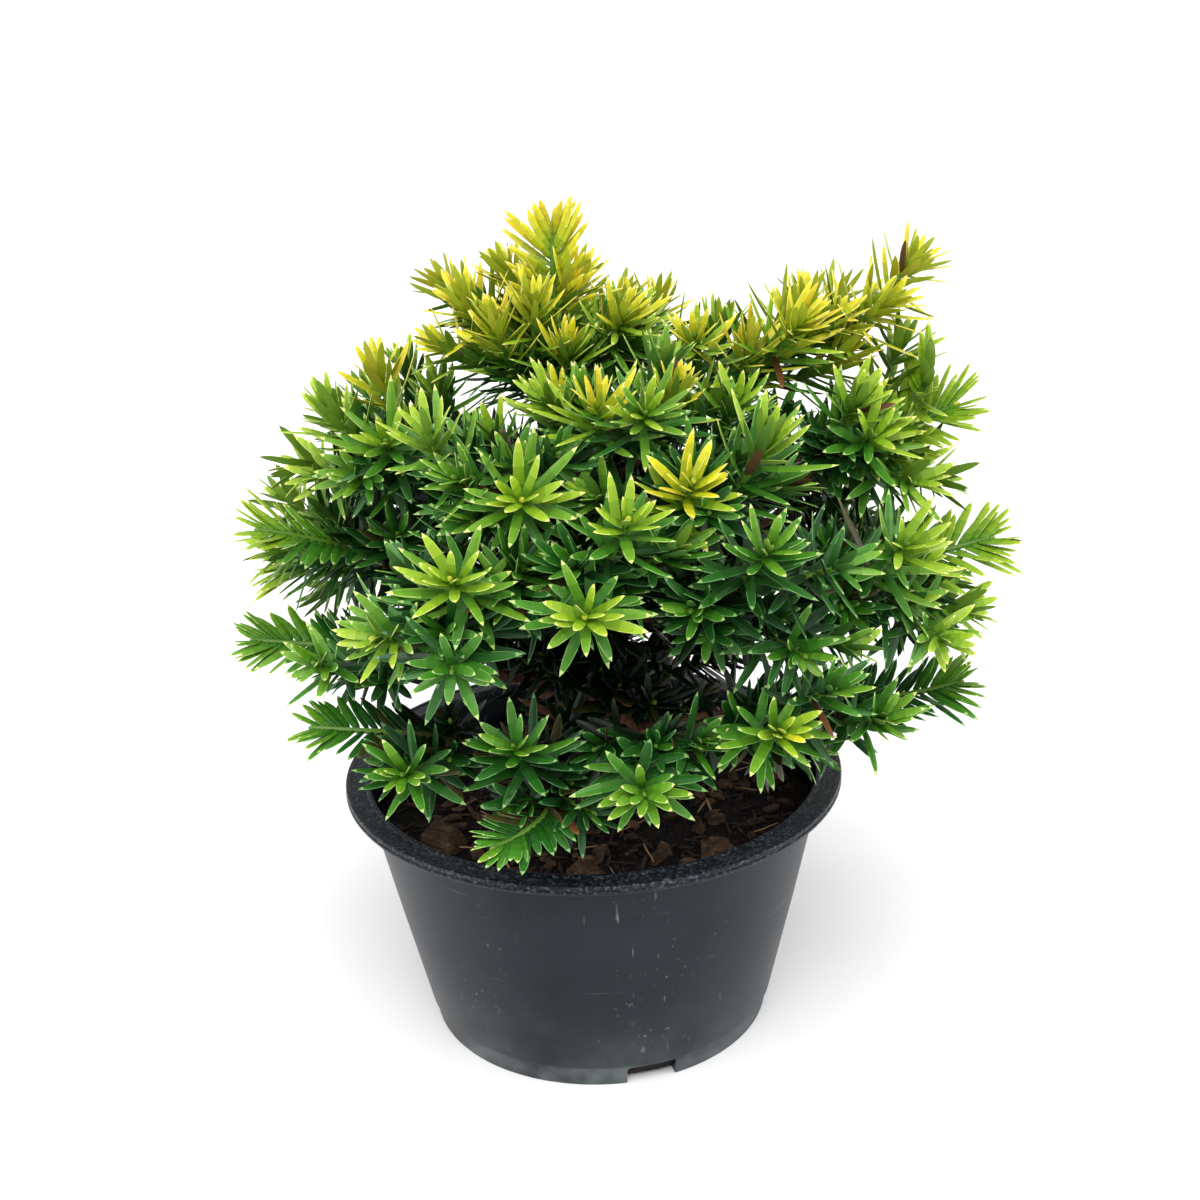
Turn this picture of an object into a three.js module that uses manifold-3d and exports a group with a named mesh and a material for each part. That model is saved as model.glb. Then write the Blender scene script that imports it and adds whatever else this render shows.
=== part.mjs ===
// A dwarf yew with golden shoot tips, growing in a black nursery pan filled with
// potting mix and topped with bark.
//
// Millimetres, +Z up. The origin is the centre of the pot's flat underside and the
// plant's front faces -Y. Headings are degrees counter-clockwise from +X, seen from
// above, so -90 is the front. A rise is degrees above the horizontal.
//
// The trunk stands on the potting mix and stays whole up to its tip. Boughs leave it
// one above the other, and each ends where its mass of foliage begins. A mass is one
// stem that forks to its leaders, with side shoots, and flat needles set round every
// shoot, all fused into one solid.

import * as THREE from "three";
import { mergeVertices } from "three/addons/utils/BufferGeometryUtils.js";
import Module from "manifold-3d";

const wasm = await Module();
wasm.setup();

// ---- Driving dimensions -------------------------------------------------------

const GAP = 0.35; // clearance between two pieces that touch in life
const GOLDEN_TURN = 137.5; // degrees round a shoot from one needle to the next

const POT = {
  rimRadius: 85,
  height: 90,
  wall: 1.6,
  footRadius: 59,
  bandHeight: 7.5, // the plain band round the foot
  bandTopRadius: 60,
  bandStep: 0.4, // the height over which the wall steps out from the band
  wallFootRadius: 61,
  wallTopRadius: 78,
  flangeHeight: 5, // from the wall's top to the rim's
  lipHeight: 3, // the turned-down edge of the flange
  edgeRound: 0.6,
  segments: 44,
};
const SLOT = { count: 3, heading: -74, width: 17, height: 6.5, depth: 10 };

const SOIL = { top: 77, inset: 0.6, segments: 32 }; // inset keeps its flats clear of the wall
const CHIPS = {
  count: 7,
  ringRadius: 60,
  ringSpread: 9,
  firstHeading: -152,
  headingSpread: 12,
  length: 19,
  width: 11,
  height: 6.5,
  sizes: [0.75, 1.2],
};

const TRUNK = {
  foot: new THREE.Vector3(0, 0, SOIL.top + GAP),
  bend: new THREE.Vector3(0, 0, 132),
  tip: new THREE.Vector3(-4, 4, 194),
  flareRadius: 9,
  flareHeight: 9,
  footRadius: 6.2,
  tipRadius: 2.5,
  sides: 8,
  rings: 6,
};

// A bough ends at a share of the way from the trunk to the middle of its mass's tips.
// Its height on the trunk and its thickness there go by its order, from the lowest to
// the highest.
const BOUGH = {
  lowestRadius: 2.6,
  highestRadius: 1.7,
  tipRadius: 1.4,
  share: 0.44,
  sag: 5,
  sides: 5,
  rings: 3,
  lowest: 91,
  highest: 181,
};

// A mass's twigs. Places along a twig are shares of its length.
const TWIG_SIDES = 3;
const TWIG_SAG = 5;
const STEM = {
  baseRadius: 1.5,
  tipRadius: 0.85,
  firstFork: 0.3,
  forkStep: 0.13,
  needlesFrom: 0.5,
  rings: 4,
};
const LEADER = { baseRadius: 1.1, tipRadius: 0.85, needlesFrom: 0.34, rings: 3 };
const SIDE_SHOOT = {
  fromTip: 48,
  fromTipShares: [0.85, 1.15],
  length: 34,
  lengthShares: [0.8, 1.1],
  spread: 48, // degrees from its leader
  spreadShares: [0.8, 1.15],
  roll: 50, // the range of degrees that it may turn up or down
  sag: 1.7,
  baseRadius: 0.95,
  tipRadius: 0.8,
  needlesFrom: 0.25,
  rings: 2,
  room: 1.9, // from other masses and limbs, besides the gap
};

// Needles stand out widely low on a shoot, and close up and shorten towards its tip.
const NEEDLE = {
  length: 26,
  tipLength: 16,
  lengthShares: [0.9, 1.1],
  sides: 3,
  width: 5.6,
  widest: 0.4,
  thickness: 1.1,
  last: 0.97,
  baseAngle: 70,
  tipAngle: 24,
  ranks: 0.3, // how far they part to the two sides of a level shoot
  onLeader: 7,
  onSideShoot: 4,
  clearFrom: 0.1, // past this share of a needle it keeps clear of its own mass
  clear: 4.8,
};

// The finest edge and corner spacing that a fused mass may have, and the sizes that a
// piece is tried at until it has none finer.
const FINEST = { edge: 0.004, cell: 0.008, sizes: [1, 0.96, 1.04, 0.92, 1.08] };

const WELD = 1e-4; // corners closer than this are one corner
const SHARE_STEP = 1e-6; // how finely a share of a curve is found
const PARALLEL = 1e-9; // two segments whose span is under this are parallel
const NEAR_X = 0.9; // a limb that starts this close to the X axis takes its first side from Y

// The masses of foliage, in the order of their boughs up the trunk. Every leader has its
// heading, its rise and its reach from the heart of the crown.
const HEART = new THREE.Vector3(0, 0, 120);
const CROWN = {
  low_front_left: [[-103, 13, 100], [-106, -4, 104]],
  lower_right: [[-9, 2, 123], [-34, 6, 109]],
  low_left: [[-149, 6, 101], [-124, 5, 100]],
  low_back_right: [[35, 3, 106], [64, -2, 98]],
  low_right: [[-52, 17, 119], [-61, 13, 116], [-39, 0, 90]],
  low_back_left: [[120, 0, 103], [158, 3, 106]],
  back_left: [[145, 45, 128], [130, 28, 125], [150, 8, 112]],
  low_front_right: [[-82, 6, 107], [-68, 11, 93]],
  lower_left: [[-170, 14, 113], [-149, 18, 103]],
  back_right: [[50, 48, 135], [40, 28, 130], [55, 10, 112]],
  right: [[-7, 22, 141], [-34, 31, 133], [-14, 15, 130]],
  back: [[95, 50, 130], [80, 30, 125], [100, 12, 112]],
  left: [[-164, 33, 125], [167, 31, 123], [167, 19, 115]],
  front_right: [[-63, 36, 139], [-37, 19, 106]],
  front_left: [[-109, 35, 135], [-124, 27, 120]],
  right_back: [[20, 38, 135], [15, 12, 122]],
  front: [[-90, 31, 135], [-83, 42, 136]],
  upper_left: [[-171, 61, 131], [-162, 53, 134], [177, 40, 122]],
  front_upper_right: [[-71, 46, 136], [-55, 49, 140]],
  upper_right: [[-8, 45, 155], [-5, 39, 152], [-3, 31, 136]],
  front_upper_left: [[-126, 55, 130], [-101, 47, 127]],
  upper_back: [[110, 68, 130], [60, 66, 132]],
  upper_front: [[-85, 62, 128], [-57, 65, 125]],
  top_right: [[-21, 65, 134], [-4, 61, 148], [5, 52, 175]],
};
// The topmost mass has no bough, and grows straight from the trunk's tip.
const TOP_LEADERS = [[150, 87, 153], [168, 80, 150], [40, 82, 140], [-171, 75, 142]];

const CHIP_SEED = 700;
const NEEDLE_SEED = 100;

// ---- Materials ----------------------------------------------------------------

const finish = (color, roughness) => new THREE.MeshStandardMaterial({ color, roughness, metalness: 0 });
const MATERIALS = {
  pot: finish(0x33383c, 0.5),
  soil: finish(0x1c1410, 0.95),
  chip: finish(0x4a3022, 0.9),
  bark: finish(0x5b3a28, 0.85),
};

// New growth is golden in full light, so the higher a mass's tips are, the yellower it is.
const NEEDLE_TINTS = [
  { above: 222, material: finish(0xb5bd35, 0.45) },
  { above: 185, material: finish(0x86ab33, 0.45) },
  { above: 150, material: finish(0x5c9131, 0.45) },
  { above: 0, material: finish(0x3a7a33, 0.45) },
];

// ---- Helpers ------------------------------------------------------------------

const radians = THREE.MathUtils.degToRad;
const lerp = THREE.MathUtils.lerp;
const UP = new THREE.Vector3(0, 0, 1);

// A repeatable stream of numbers from 0 to 1, and one value of it within a range.
function stream(seed) {
  let state = (seed * 2654435761) >>> 0;
  return () => {
    state = (Math.imul(state, 1664525) + 1013904223) >>> 0;
    return state / 4294967296;
  };
}

const within = (random, low, high) => lerp(low, high, random());

function solidFromArrays(vertices, triangles) {
  return new wasm.Manifold(
    new wasm.Mesh({
      numProp: 3,
      vertProperties: new Float32Array(vertices),
      triVerts: new Uint32Array(triangles),
    }),
  );
}

function solidFromGeometry(geometry) {
  const bare = geometry.clone();
  bare.deleteAttribute("normal");
  bare.deleteAttribute("uv");
  const merged = mergeVertices(bare, WELD);
  return solidFromArrays(merged.attributes.position.array, merged.index.array);
}

// Whether all of a solid's corners lie further apart than the finest size worth keeping.
function isClean(solid) {
  const { numProp, vertProperties, triVerts } = solid.getMesh();
  const cells = new Set();
  const count = vertProperties.length / numProp;
  const corner = (i) => new THREE.Vector3(...vertProperties.subarray(i * numProp, i * numProp + 3));
  for (let i = 0; i < count; i++) {
    cells.add(corner(i).divideScalar(FINEST.cell).round().toArray().join());
  }
  if (cells.size < count) return false;
  return triVerts.every((a, i) => {
    const b = triVerts[i % 3 === 2 ? i - 2 : i + 1];
    return corner(a).distanceTo(corner(b)) > FINEST.edge;
  });
}

// Joins a piece to a solid. The piece is made a little larger or smaller until it leaves
// no sliver, and left out where no size does.
function fused(solid, makePiece) {
  for (const size of FINEST.sizes) {
    const whole = solid.add(makePiece(size));
    if (isClean(whole)) return whole;
  }
  return solid;
}

// The outermost shell of a solid: sealed hollows are filled and loose scraps dropped.
function outerShell(solid) {
  const shells = solid.decompose();
  return shells.reduce((best, shell) => (shell.volume() > best.volume() ? shell : best));
}

function meshFromSolid(name, solid, material) {
  const { numProp, vertProperties, triVerts } = outerShell(solid).getMesh();
  const count = vertProperties.length / numProp;
  const positions = new Float32Array(count * 3);
  for (let i = 0; i < count; i++) {
    positions.set(vertProperties.subarray(i * numProp, i * numProp + 3), i * 3);
  }
  const geometry = new THREE.BufferGeometry();
  geometry.setAttribute("position", new THREE.BufferAttribute(positions, 3));
  geometry.setIndex(new THREE.BufferAttribute(new Uint32Array(triVerts), 1));
  geometry.computeVertexNormals();
  const mesh = new THREE.Mesh(geometry, material);
  mesh.name = name;
  return mesh;
}

// A closed tapering limb along a curve, from a flat root to a flat tip.
function limbSolid(curve, radiusAt, sides, rings) {
  const vertices = [];
  const triangles = [];
  const across = new THREE.Vector3(1, 0, 0);
  if (Math.abs(curve.getTangent(0).x) > NEAR_X) across.set(0, 1, 0);
  for (let i = 0; i < rings; i++) {
    const t = i / (rings - 1);
    const centre = curve.getPoint(t);
    const along = curve.getTangent(t);
    across.addScaledVector(along, -across.dot(along)).normalize();
    const other = along.clone().cross(across);
    for (let k = 0; k < sides; k++) {
      const turn = (2 * Math.PI * k) / sides;
      const corner = centre
        .clone()
        .addScaledVector(across, radiusAt(t) * Math.cos(turn))
        .addScaledVector(other, radiusAt(t) * Math.sin(turn));
      vertices.push(...corner);
    }
  }
  for (let i = 0; i + 1 < rings; i++) {
    for (let k = 0; k < sides; k++) {
      const a = i * sides + k;
      const b = i * sides + ((k + 1) % sides);
      triangles.push(a, b, b + sides, a, b + sides, a + sides);
    }
  }
  const last = (rings - 1) * sides;
  for (let k = 1; k + 1 < sides; k++) {
    triangles.push(0, k + 1, k, last, last + k, last + k + 1);
  }
  return solidFromArrays(vertices, triangles);
}

// A point given by heading, rise and reach from the heart of the crown.
function crownPoint([heading, rise, reach]) {
  const flat = reach * Math.cos(radians(rise));
  return new THREE.Vector3(
    flat * Math.cos(radians(heading)),
    flat * Math.sin(radians(heading)),
    reach * Math.sin(radians(rise)),
  ).add(HEART);
}

function middleOf(points) {
  const sum = points.reduce((total, point) => total.add(point), new THREE.Vector3());
  return sum.divideScalar(points.length);
}

// A curve from one point to another that hangs a little below the straight line.
function saggingCurve(from, to, sag) {
  const middle = from.clone().lerp(to, 0.5).addScaledVector(UP, -sag);
  return new THREE.QuadraticBezierCurve3(from, middle, to);
}

// ---- Room between pieces --------------------------------------------------------

// Everything that grows is also noted as thick line segments, so that a twig or a
// needle that would touch another mass or a limb can be left out.
const taken = [];

function noteCurve(owner, curve, radiusAt, steps) {
  for (let i = 0; i < steps; i++) {
    const radius = Math.max(radiusAt(i / steps), radiusAt((i + 1) / steps));
    const [a, b] = [curve.getPoint(i / steps), curve.getPoint((i + 1) / steps)];
    taken.push({ owner, shoot: curve, a, b, radius });
  }
}

// The shortest distance between segments a1-b1 and a2-b2.
function segmentDistance(a1, b1, a2, b2) {
  const d1 = b1.clone().sub(a1);
  const d2 = b2.clone().sub(a2);
  const between = a1.clone().sub(a2);
  const [aa, ee, bb] = [d1.dot(d1), d2.dot(d2), d1.dot(d2)];
  const [cc, ff] = [d1.dot(between), d2.dot(between)];
  const span = aa * ee - bb * bb;
  let s = span > PARALLEL ? THREE.MathUtils.clamp((bb * ff - cc * ee) / span, 0, 1) : 0;
  const t = THREE.MathUtils.clamp((bb * s + ff) / ee, 0, 1);
  s = THREE.MathUtils.clamp((bb * t - cc) / aa, 0, 1);
  return a1.clone().addScaledVector(d1, s).distanceTo(a2.clone().addScaledVector(d2, t));
}

function isFree(owner, a, b, radius) {
  return taken.every(
    (other) =>
      other.owner === owner || segmentDistance(a, b, other.a, other.b) > radius + other.radius + GAP,
  );
}

// Whether a needle, past its root, stays clear of its own mass's needles and twigs.
function isClearOfOwn(owner, shoot, from, tip) {
  return taken.every(
    (other) =>
      other.owner !== owner ||
      (other.shoot === shoot && !other.isNeedle) ||
      segmentDistance(from, tip, other.from ?? other.a, other.b) > NEEDLE.clear,
  );
}

// ---- Pot ------------------------------------------------------------------------

// The wall's outer radius at a height above the band.
function potRadius(z) {
  const share = (z - POT.bandHeight) / (POT.height - POT.flangeHeight - POT.bandHeight);
  return lerp(POT.wallFootRadius, POT.wallTopRadius, share);
}

function latheSolid(profile, segments) {
  const points = profile.map(([radius, height]) => new THREE.Vector2(radius, height));
  return solidFromGeometry(new THREE.LatheGeometry(points, segments).rotateX(Math.PI / 2));
}

function potSolid() {
  const { rimRadius, height, wall, edgeRound } = POT;
  const flange = height - POT.flangeHeight;
  const innerRim = POT.wallTopRadius - wall;
  const shell = latheSolid(
    [
      [0, 0],
      [POT.footRadius, 0],
      [POT.bandTopRadius, POT.bandHeight],
      [POT.wallFootRadius, POT.bandHeight + POT.bandStep],
      [POT.wallTopRadius, flange],
      [rimRadius - wall, height - POT.lipHeight],
      [rimRadius, height - POT.lipHeight],
      [rimRadius, height - edgeRound],
      [rimRadius - edgeRound, height],
      [innerRim + edgeRound, height],
      [innerRim, height - edgeRound],
      [innerRim, flange],
      [potRadius(POT.bandHeight) - wall, POT.bandHeight],
      [POT.footRadius - wall, wall],
      [0, wall],
    ],
    POT.segments,
  );
  const cutters = [];
  for (let i = 0; i < SLOT.count; i++) {
    const slot = new THREE.BoxGeometry(2 * SLOT.depth, SLOT.width, 2 * SLOT.height);
    slot.translate(POT.bandTopRadius, 0, 0);
    slot.rotateZ(radians(SLOT.heading + (i * 360) / SLOT.count));
    cutters.push(solidFromGeometry(slot));
  }
  return cutters.reduce((solid, cutter) => solid.subtract(cutter), shell);
}

// ---- Potting mix and bark chips -------------------------------------------------

function soilSolid() {
  const inset = POT.wall + SOIL.inset;
  return latheSolid(
    [
      [0, POT.wall + GAP],
      [POT.footRadius - inset, POT.wall + GAP],
      [potRadius(POT.bandHeight) - inset, POT.bandHeight],
      [potRadius(SOIL.top) - inset, SOIL.top],
      [0, SOIL.top],
    ],
    SOIL.segments,
  );
}

// A chunky flake of bark: a low-faced ball, flattened, with its underside cut level.
function chipSolid(index) {
  const random = stream(CHIP_SEED + index);
  const flake = new THREE.IcosahedronGeometry(1, 0);
  const length = CHIPS.length * within(random, ...CHIPS.sizes);
  const width = CHIPS.width * within(random, ...CHIPS.sizes);
  flake.scale(length / 2, width / 2, CHIPS.height);
  flake.rotateZ(random() * Math.PI);
  const turn = CHIPS.firstHeading + index * (360 / CHIPS.count) + CHIPS.headingSpread * random();
  const ring = CHIPS.ringRadius + CHIPS.ringSpread * (random() - 0.5);
  const level = SOIL.top + GAP;
  flake.translate(ring * Math.cos(radians(turn)), ring * Math.sin(radians(turn)), level);
  const below = new THREE.BoxGeometry(2 * POT.rimRadius, 2 * POT.rimRadius, level);
  below.translate(0, 0, level / 2);
  return solidFromGeometry(flake).subtract(solidFromGeometry(below));
}

// ---- Trunk and boughs -----------------------------------------------------------

const trunkCurve = new THREE.QuadraticBezierCurve3(TRUNK.foot, TRUNK.bend, TRUNK.tip);

function trunkRadius(t) {
  const above = t * (TRUNK.tip.z - TRUNK.foot.z);
  const flare = (TRUNK.flareRadius - TRUNK.footRadius) * Math.exp(-above / TRUNK.flareHeight);
  return lerp(TRUNK.footRadius, TRUNK.tipRadius, t) + flare;
}

// The share of the way up the trunk's curve at a height.
function trunkShareAt(z) {
  let [low, high] = [0, 1];
  while (high - low > SHARE_STEP) {
    const middle = (low + high) / 2;
    if (trunkCurve.getPoint(middle).z < z) low = middle;
    else high = middle;
  }
  return low;
}

// A bough's curve, from the trunk's heart towards the middle of its mass's leaders.
function boughCurve(place, tips) {
  const share = trunkShareAt(lerp(BOUGH.lowest, BOUGH.highest, place));
  const root = trunkCurve.getPoint(share);
  const way = middleOf(tips).sub(root);
  const levelShare = Math.hypot(way.x, way.y) / way.length();
  const tip = root.clone().addScaledVector(way, BOUGH.share);
  return saggingCurve(root, tip, BOUGH.sag * levelShare);
}

// ---- Masses of foliage ------------------------------------------------------------

// The curves of one mass: a stem that goes on from its limb's tip to the first leader's
// tip, and the other leaders, which fork from it one after another.
function massCurves(limb, tips) {
  const end = limb.getPoint(1);
  const onward = limb.getTangent(1);
  const start = end.clone().addScaledVector(onward, GAP);
  const third = start.distanceTo(tips[0]) / 3;
  const sag = UP.clone().multiplyScalar(TWIG_SAG);
  const stem = new THREE.CubicBezierCurve3(
    start,
    start.clone().addScaledVector(onward, third),
    start.clone().lerp(tips[0], 2 / 3).sub(sag),
    tips[0],
  );
  const forkAt = (i) => stem.getPoint(STEM.firstFork + i * STEM.forkStep);
  return { stem, forks: tips.slice(1).map((tip, i) => saggingCurve(forkAt(i), tip, TWIG_SAG)) };
}

// A side shoot leaves its leader to one side, and turns up a little.
function sideShootCurve(leader, side, random) {
  const back = SIDE_SHOOT.fromTip * within(random, ...SIDE_SHOOT.fromTipShares);
  const share = Math.max(1 - back / leader.getLength(), SIDE_SHOOT.needlesFrom);
  const root = leader.getPoint(share);
  const along = leader.getTangent(share);
  const sideways = along.clone().cross(UP).normalize().multiplyScalar(side);
  sideways.applyAxisAngle(along, radians(SIDE_SHOOT.roll * (random() - 0.5)));
  const spread = radians(SIDE_SHOOT.spread * within(random, ...SIDE_SHOOT.spreadShares));
  const way = along.multiplyScalar(Math.cos(spread)).addScaledVector(sideways, Math.sin(spread));
  const length = SIDE_SHOOT.length * within(random, ...SIDE_SHOOT.lengthShares);
  const tip = root.clone().addScaledVector(way, length);
  return saggingCurve(root, tip, SIDE_SHOOT.sag);
}

// How thick a stem, a leader or a side shoot is along its length.
const taper = (twig) => (t) => lerp(twig.baseRadius, twig.tipRadius, t);

function twigSolid(curve, twig, size) {
  return limbSolid(curve, (t) => size * taper(twig)(t), TWIG_SIDES, twig.rings);
}

// The root and the direction of each needle on a shoot. Needles turn round the shoot
// by the golden angle, part to both sides where it lies flat, and close up at its tip.
function needlePlaces(curve, first, count, random) {
  const start = random() * 360;
  return Array.from({ length: count }, (_, i) => {
    const t = lerp(first, NEEDLE.last, (i + 0.5) / (count - 0.5));
    const along = curve.getTangent(t);
    const across = along.clone().cross(UP).normalize();
    const over = across.clone().cross(along);
    const flat = Math.sqrt(1 - along.z * along.z);
    let turn = radians(start + i * GOLDEN_TURN);
    turn += NEEDLE.ranks * flat * Math.sin(2 * turn);
    const outward = over.multiplyScalar(Math.cos(turn)).addScaledVector(across, Math.sin(turn));
    const angle = radians(lerp(NEEDLE.baseAngle, NEEDLE.tipAngle, t * t));
    const way = along.clone().multiplyScalar(Math.cos(angle)).addScaledVector(outward, Math.sin(angle));
    const fullLength = lerp(NEEDLE.length, NEEDLE.tipLength, t * t);
    const length = fullLength * within(random, ...NEEDLE.lengthShares);
    return { root: curve.getPoint(t), way, along, length };
  });
}

// One flat needle: a blade with a rib along it, widest nearer its root, which stands
// with its rib towards the shoot's tip.
const blade = new THREE.LatheGeometry(
  [new THREE.Vector2(0, 0), new THREE.Vector2(1, NEEDLE.widest), new THREE.Vector2(0, 1)],
  NEEDLE.sides,
);
blade.computeBoundingBox();
const bladeSize = blade.boundingBox.getSize(new THREE.Vector3());

function needleSolid({ root, way, along, length }, size) {
  const across = way.clone().cross(along).normalize();
  const rib = across.clone().cross(way);
  const place = new THREE.Matrix4().makeBasis(
    across.multiplyScalar((size * NEEDLE.width) / bladeSize.x),
    way.clone().multiplyScalar(length),
    rib.multiplyScalar((size * NEEDLE.thickness) / bladeSize.z),
  );
  return solidFromGeometry(blade.clone().applyMatrix4(place.setPosition(root)));
}

function addNeedles(mass, shoot, first, count, random) {
  const { name: owner } = mass;
  const radius = NEEDLE.width / 2;
  for (const needle of needlePlaces(shoot, first, count, random)) {
    const tip = needle.root.clone().addScaledVector(needle.way, needle.length);
    const from = needle.root.clone().lerp(tip, NEEDLE.clearFrom);
    if (!isFree(owner, needle.root, tip, radius)) continue;
    if (!isClearOfOwn(owner, shoot, from, tip)) continue;
    taken.push({ owner, shoot, isNeedle: true, a: needle.root, from, b: tip, radius });
    mass.solid = fused(mass.solid, (size) => needleSolid(needle, size));
  }
}

// ---- Assembly -----------------------------------------------------------------------

const part = new THREE.Group();

part.add(meshFromSolid("pot", potSolid(), MATERIALS.pot));
part.add(meshFromSolid("potting_mix", soilSolid(), MATERIALS.soil));
for (let i = 0; i < CHIPS.count; i++) {
  part.add(meshFromSolid(`bark_chip_${i + 1}`, chipSolid(i), MATERIALS.chip));
}

const trunk = limbSolid(trunkCurve, trunkRadius, TRUNK.sides, TRUNK.rings);
part.add(meshFromSolid("trunk", trunk, MATERIALS.bark));
noteCurve("trunk", trunkCurve, trunkRadius, TRUNK.rings);

// What a bough's root is cut back from, so that it is seated all round on the trunk.
const trunkRoom = limbSolid(trunkCurve, (t) => trunkRadius(t) + GAP, TRUNK.sides, TRUNK.rings);

// Limbs come first, then every mass's leaders, then side shoots, then needles, so that
// what is finer gives way to what is coarser.
const masses = Object.entries(CROWN).map(([name, leaders], order, rows) => {
  const tips = leaders.map(crownPoint);
  const place = order / (rows.length - 1);
  const curve = boughCurve(place, tips);
  const baseRadius = lerp(BOUGH.lowestRadius, BOUGH.highestRadius, place);
  const radiusAt = taper({ baseRadius, tipRadius: BOUGH.tipRadius });
  const bough = limbSolid(curve, radiusAt, BOUGH.sides, BOUGH.rings).subtract(trunkRoom);
  part.add(meshFromSolid(`bough_${name}`, bough, MATERIALS.bark));
  noteCurve(`bough_${name}`, curve, radiusAt, BOUGH.rings);
  return { name: `foliage_${name}`, limb: curve, tips, seed: order + 1 };
});
masses.push({
  name: "foliage_top_left",
  limb: trunkCurve,
  tips: TOP_LEADERS.map(crownPoint),
  seed: masses.length + 1,
});

for (const mass of masses) {
  const { stem, forks } = massCurves(mass.limb, mass.tips);
  mass.leaders = [stem, ...forks];
  mass.solid = twigSolid(stem, STEM, 1);
  noteCurve(mass.name, stem, taper(STEM), 2 * STEM.rings);
  for (const fork of forks) {
    mass.solid = fused(mass.solid, (size) => twigSolid(fork, LEADER, size));
    noteCurve(mass.name, fork, taper(LEADER), 2 * LEADER.rings);
  }
}

for (const mass of masses) {
  const random = stream(mass.seed);
  mass.sideShoots = mass.leaders
    .flatMap((leader) => [sideShootCurve(leader, 1, random), sideShootCurve(leader, -1, random)])
    .filter((shoot) => isFree(mass.name, shoot.getPoint(0), shoot.getPoint(1), SIDE_SHOOT.room));
  for (const shoot of mass.sideShoots) {
    mass.solid = fused(mass.solid, (size) => twigSolid(shoot, SIDE_SHOOT, size));
    noteCurve(mass.name, shoot, taper(SIDE_SHOOT), SIDE_SHOOT.rings);
  }
}

for (const mass of masses) {
  const random = stream(NEEDLE_SEED + mass.seed);
  const [stem, ...forks] = mass.leaders;
  addNeedles(mass, stem, STEM.needlesFrom, NEEDLE.onLeader, random);
  for (const fork of forks) addNeedles(mass, fork, LEADER.needlesFrom, NEEDLE.onLeader, random);
  for (const shoot of mass.sideShoots) {
    addNeedles(mass, shoot, SIDE_SHOOT.needlesFrom, NEEDLE.onSideShoot, random);
  }
  const tint = NEEDLE_TINTS.find(({ above }) => middleOf(mass.tips).z > above);
  part.add(meshFromSolid(mass.name, mass.solid, tint.material));
}

export default part;
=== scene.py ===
# A dwarf yew with golden shoot tips, in its black nursery pan of bark-topped mix.
#
# Metres, +Z up. The origin is the centre of the pan's flat underside and the plant's
# front faces -Y. Sizes are written in millimetres and multiplied by MM where they are
# used. Headings are degrees counter-clockwise from +X, seen from above.

import math

import bmesh
import bpy
import numpy as np
from mathutils import Matrix, Vector


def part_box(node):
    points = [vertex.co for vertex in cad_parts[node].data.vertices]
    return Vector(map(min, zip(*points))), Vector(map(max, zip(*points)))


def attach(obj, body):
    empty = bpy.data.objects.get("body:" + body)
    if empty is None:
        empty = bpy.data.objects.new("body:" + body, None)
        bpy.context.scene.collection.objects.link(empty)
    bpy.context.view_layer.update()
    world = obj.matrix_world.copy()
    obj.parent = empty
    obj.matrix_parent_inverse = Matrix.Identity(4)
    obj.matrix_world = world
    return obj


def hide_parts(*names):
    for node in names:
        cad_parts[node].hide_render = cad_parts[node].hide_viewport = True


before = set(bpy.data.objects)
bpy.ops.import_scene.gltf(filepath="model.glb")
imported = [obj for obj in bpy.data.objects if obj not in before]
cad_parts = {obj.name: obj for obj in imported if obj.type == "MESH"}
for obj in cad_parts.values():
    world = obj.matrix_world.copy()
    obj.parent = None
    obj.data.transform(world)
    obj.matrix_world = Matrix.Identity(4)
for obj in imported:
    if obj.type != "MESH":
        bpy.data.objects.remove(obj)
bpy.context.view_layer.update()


# ---- The pan ----
# A squat nursery pan, moulded in one shot of recycled black polypropylene. It has a
# plain band round the foot, a flaring wall, and a flange with a turned-down lip. Three
# drain slots are left open where the wall meets the floor.

MM = 0.001
pan_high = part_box("pot")[1]
RIM_RADIUS = pan_high.x / MM
PAN_HEIGHT = pan_high.z / MM
PAN_SIDES = 144
PAN_WALL = 1.6
FOOT_RADIUS = 59
BAND_HEIGHT = 7.5
WALL_FOOT_RADIUS = 61
WALL_TOP_RADIUS = 78
FLANGE = PAN_HEIGHT - 5
LIP = PAN_HEIGHT - 3
INNER_RIM = WALL_TOP_RADIUS - PAN_WALL

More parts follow.
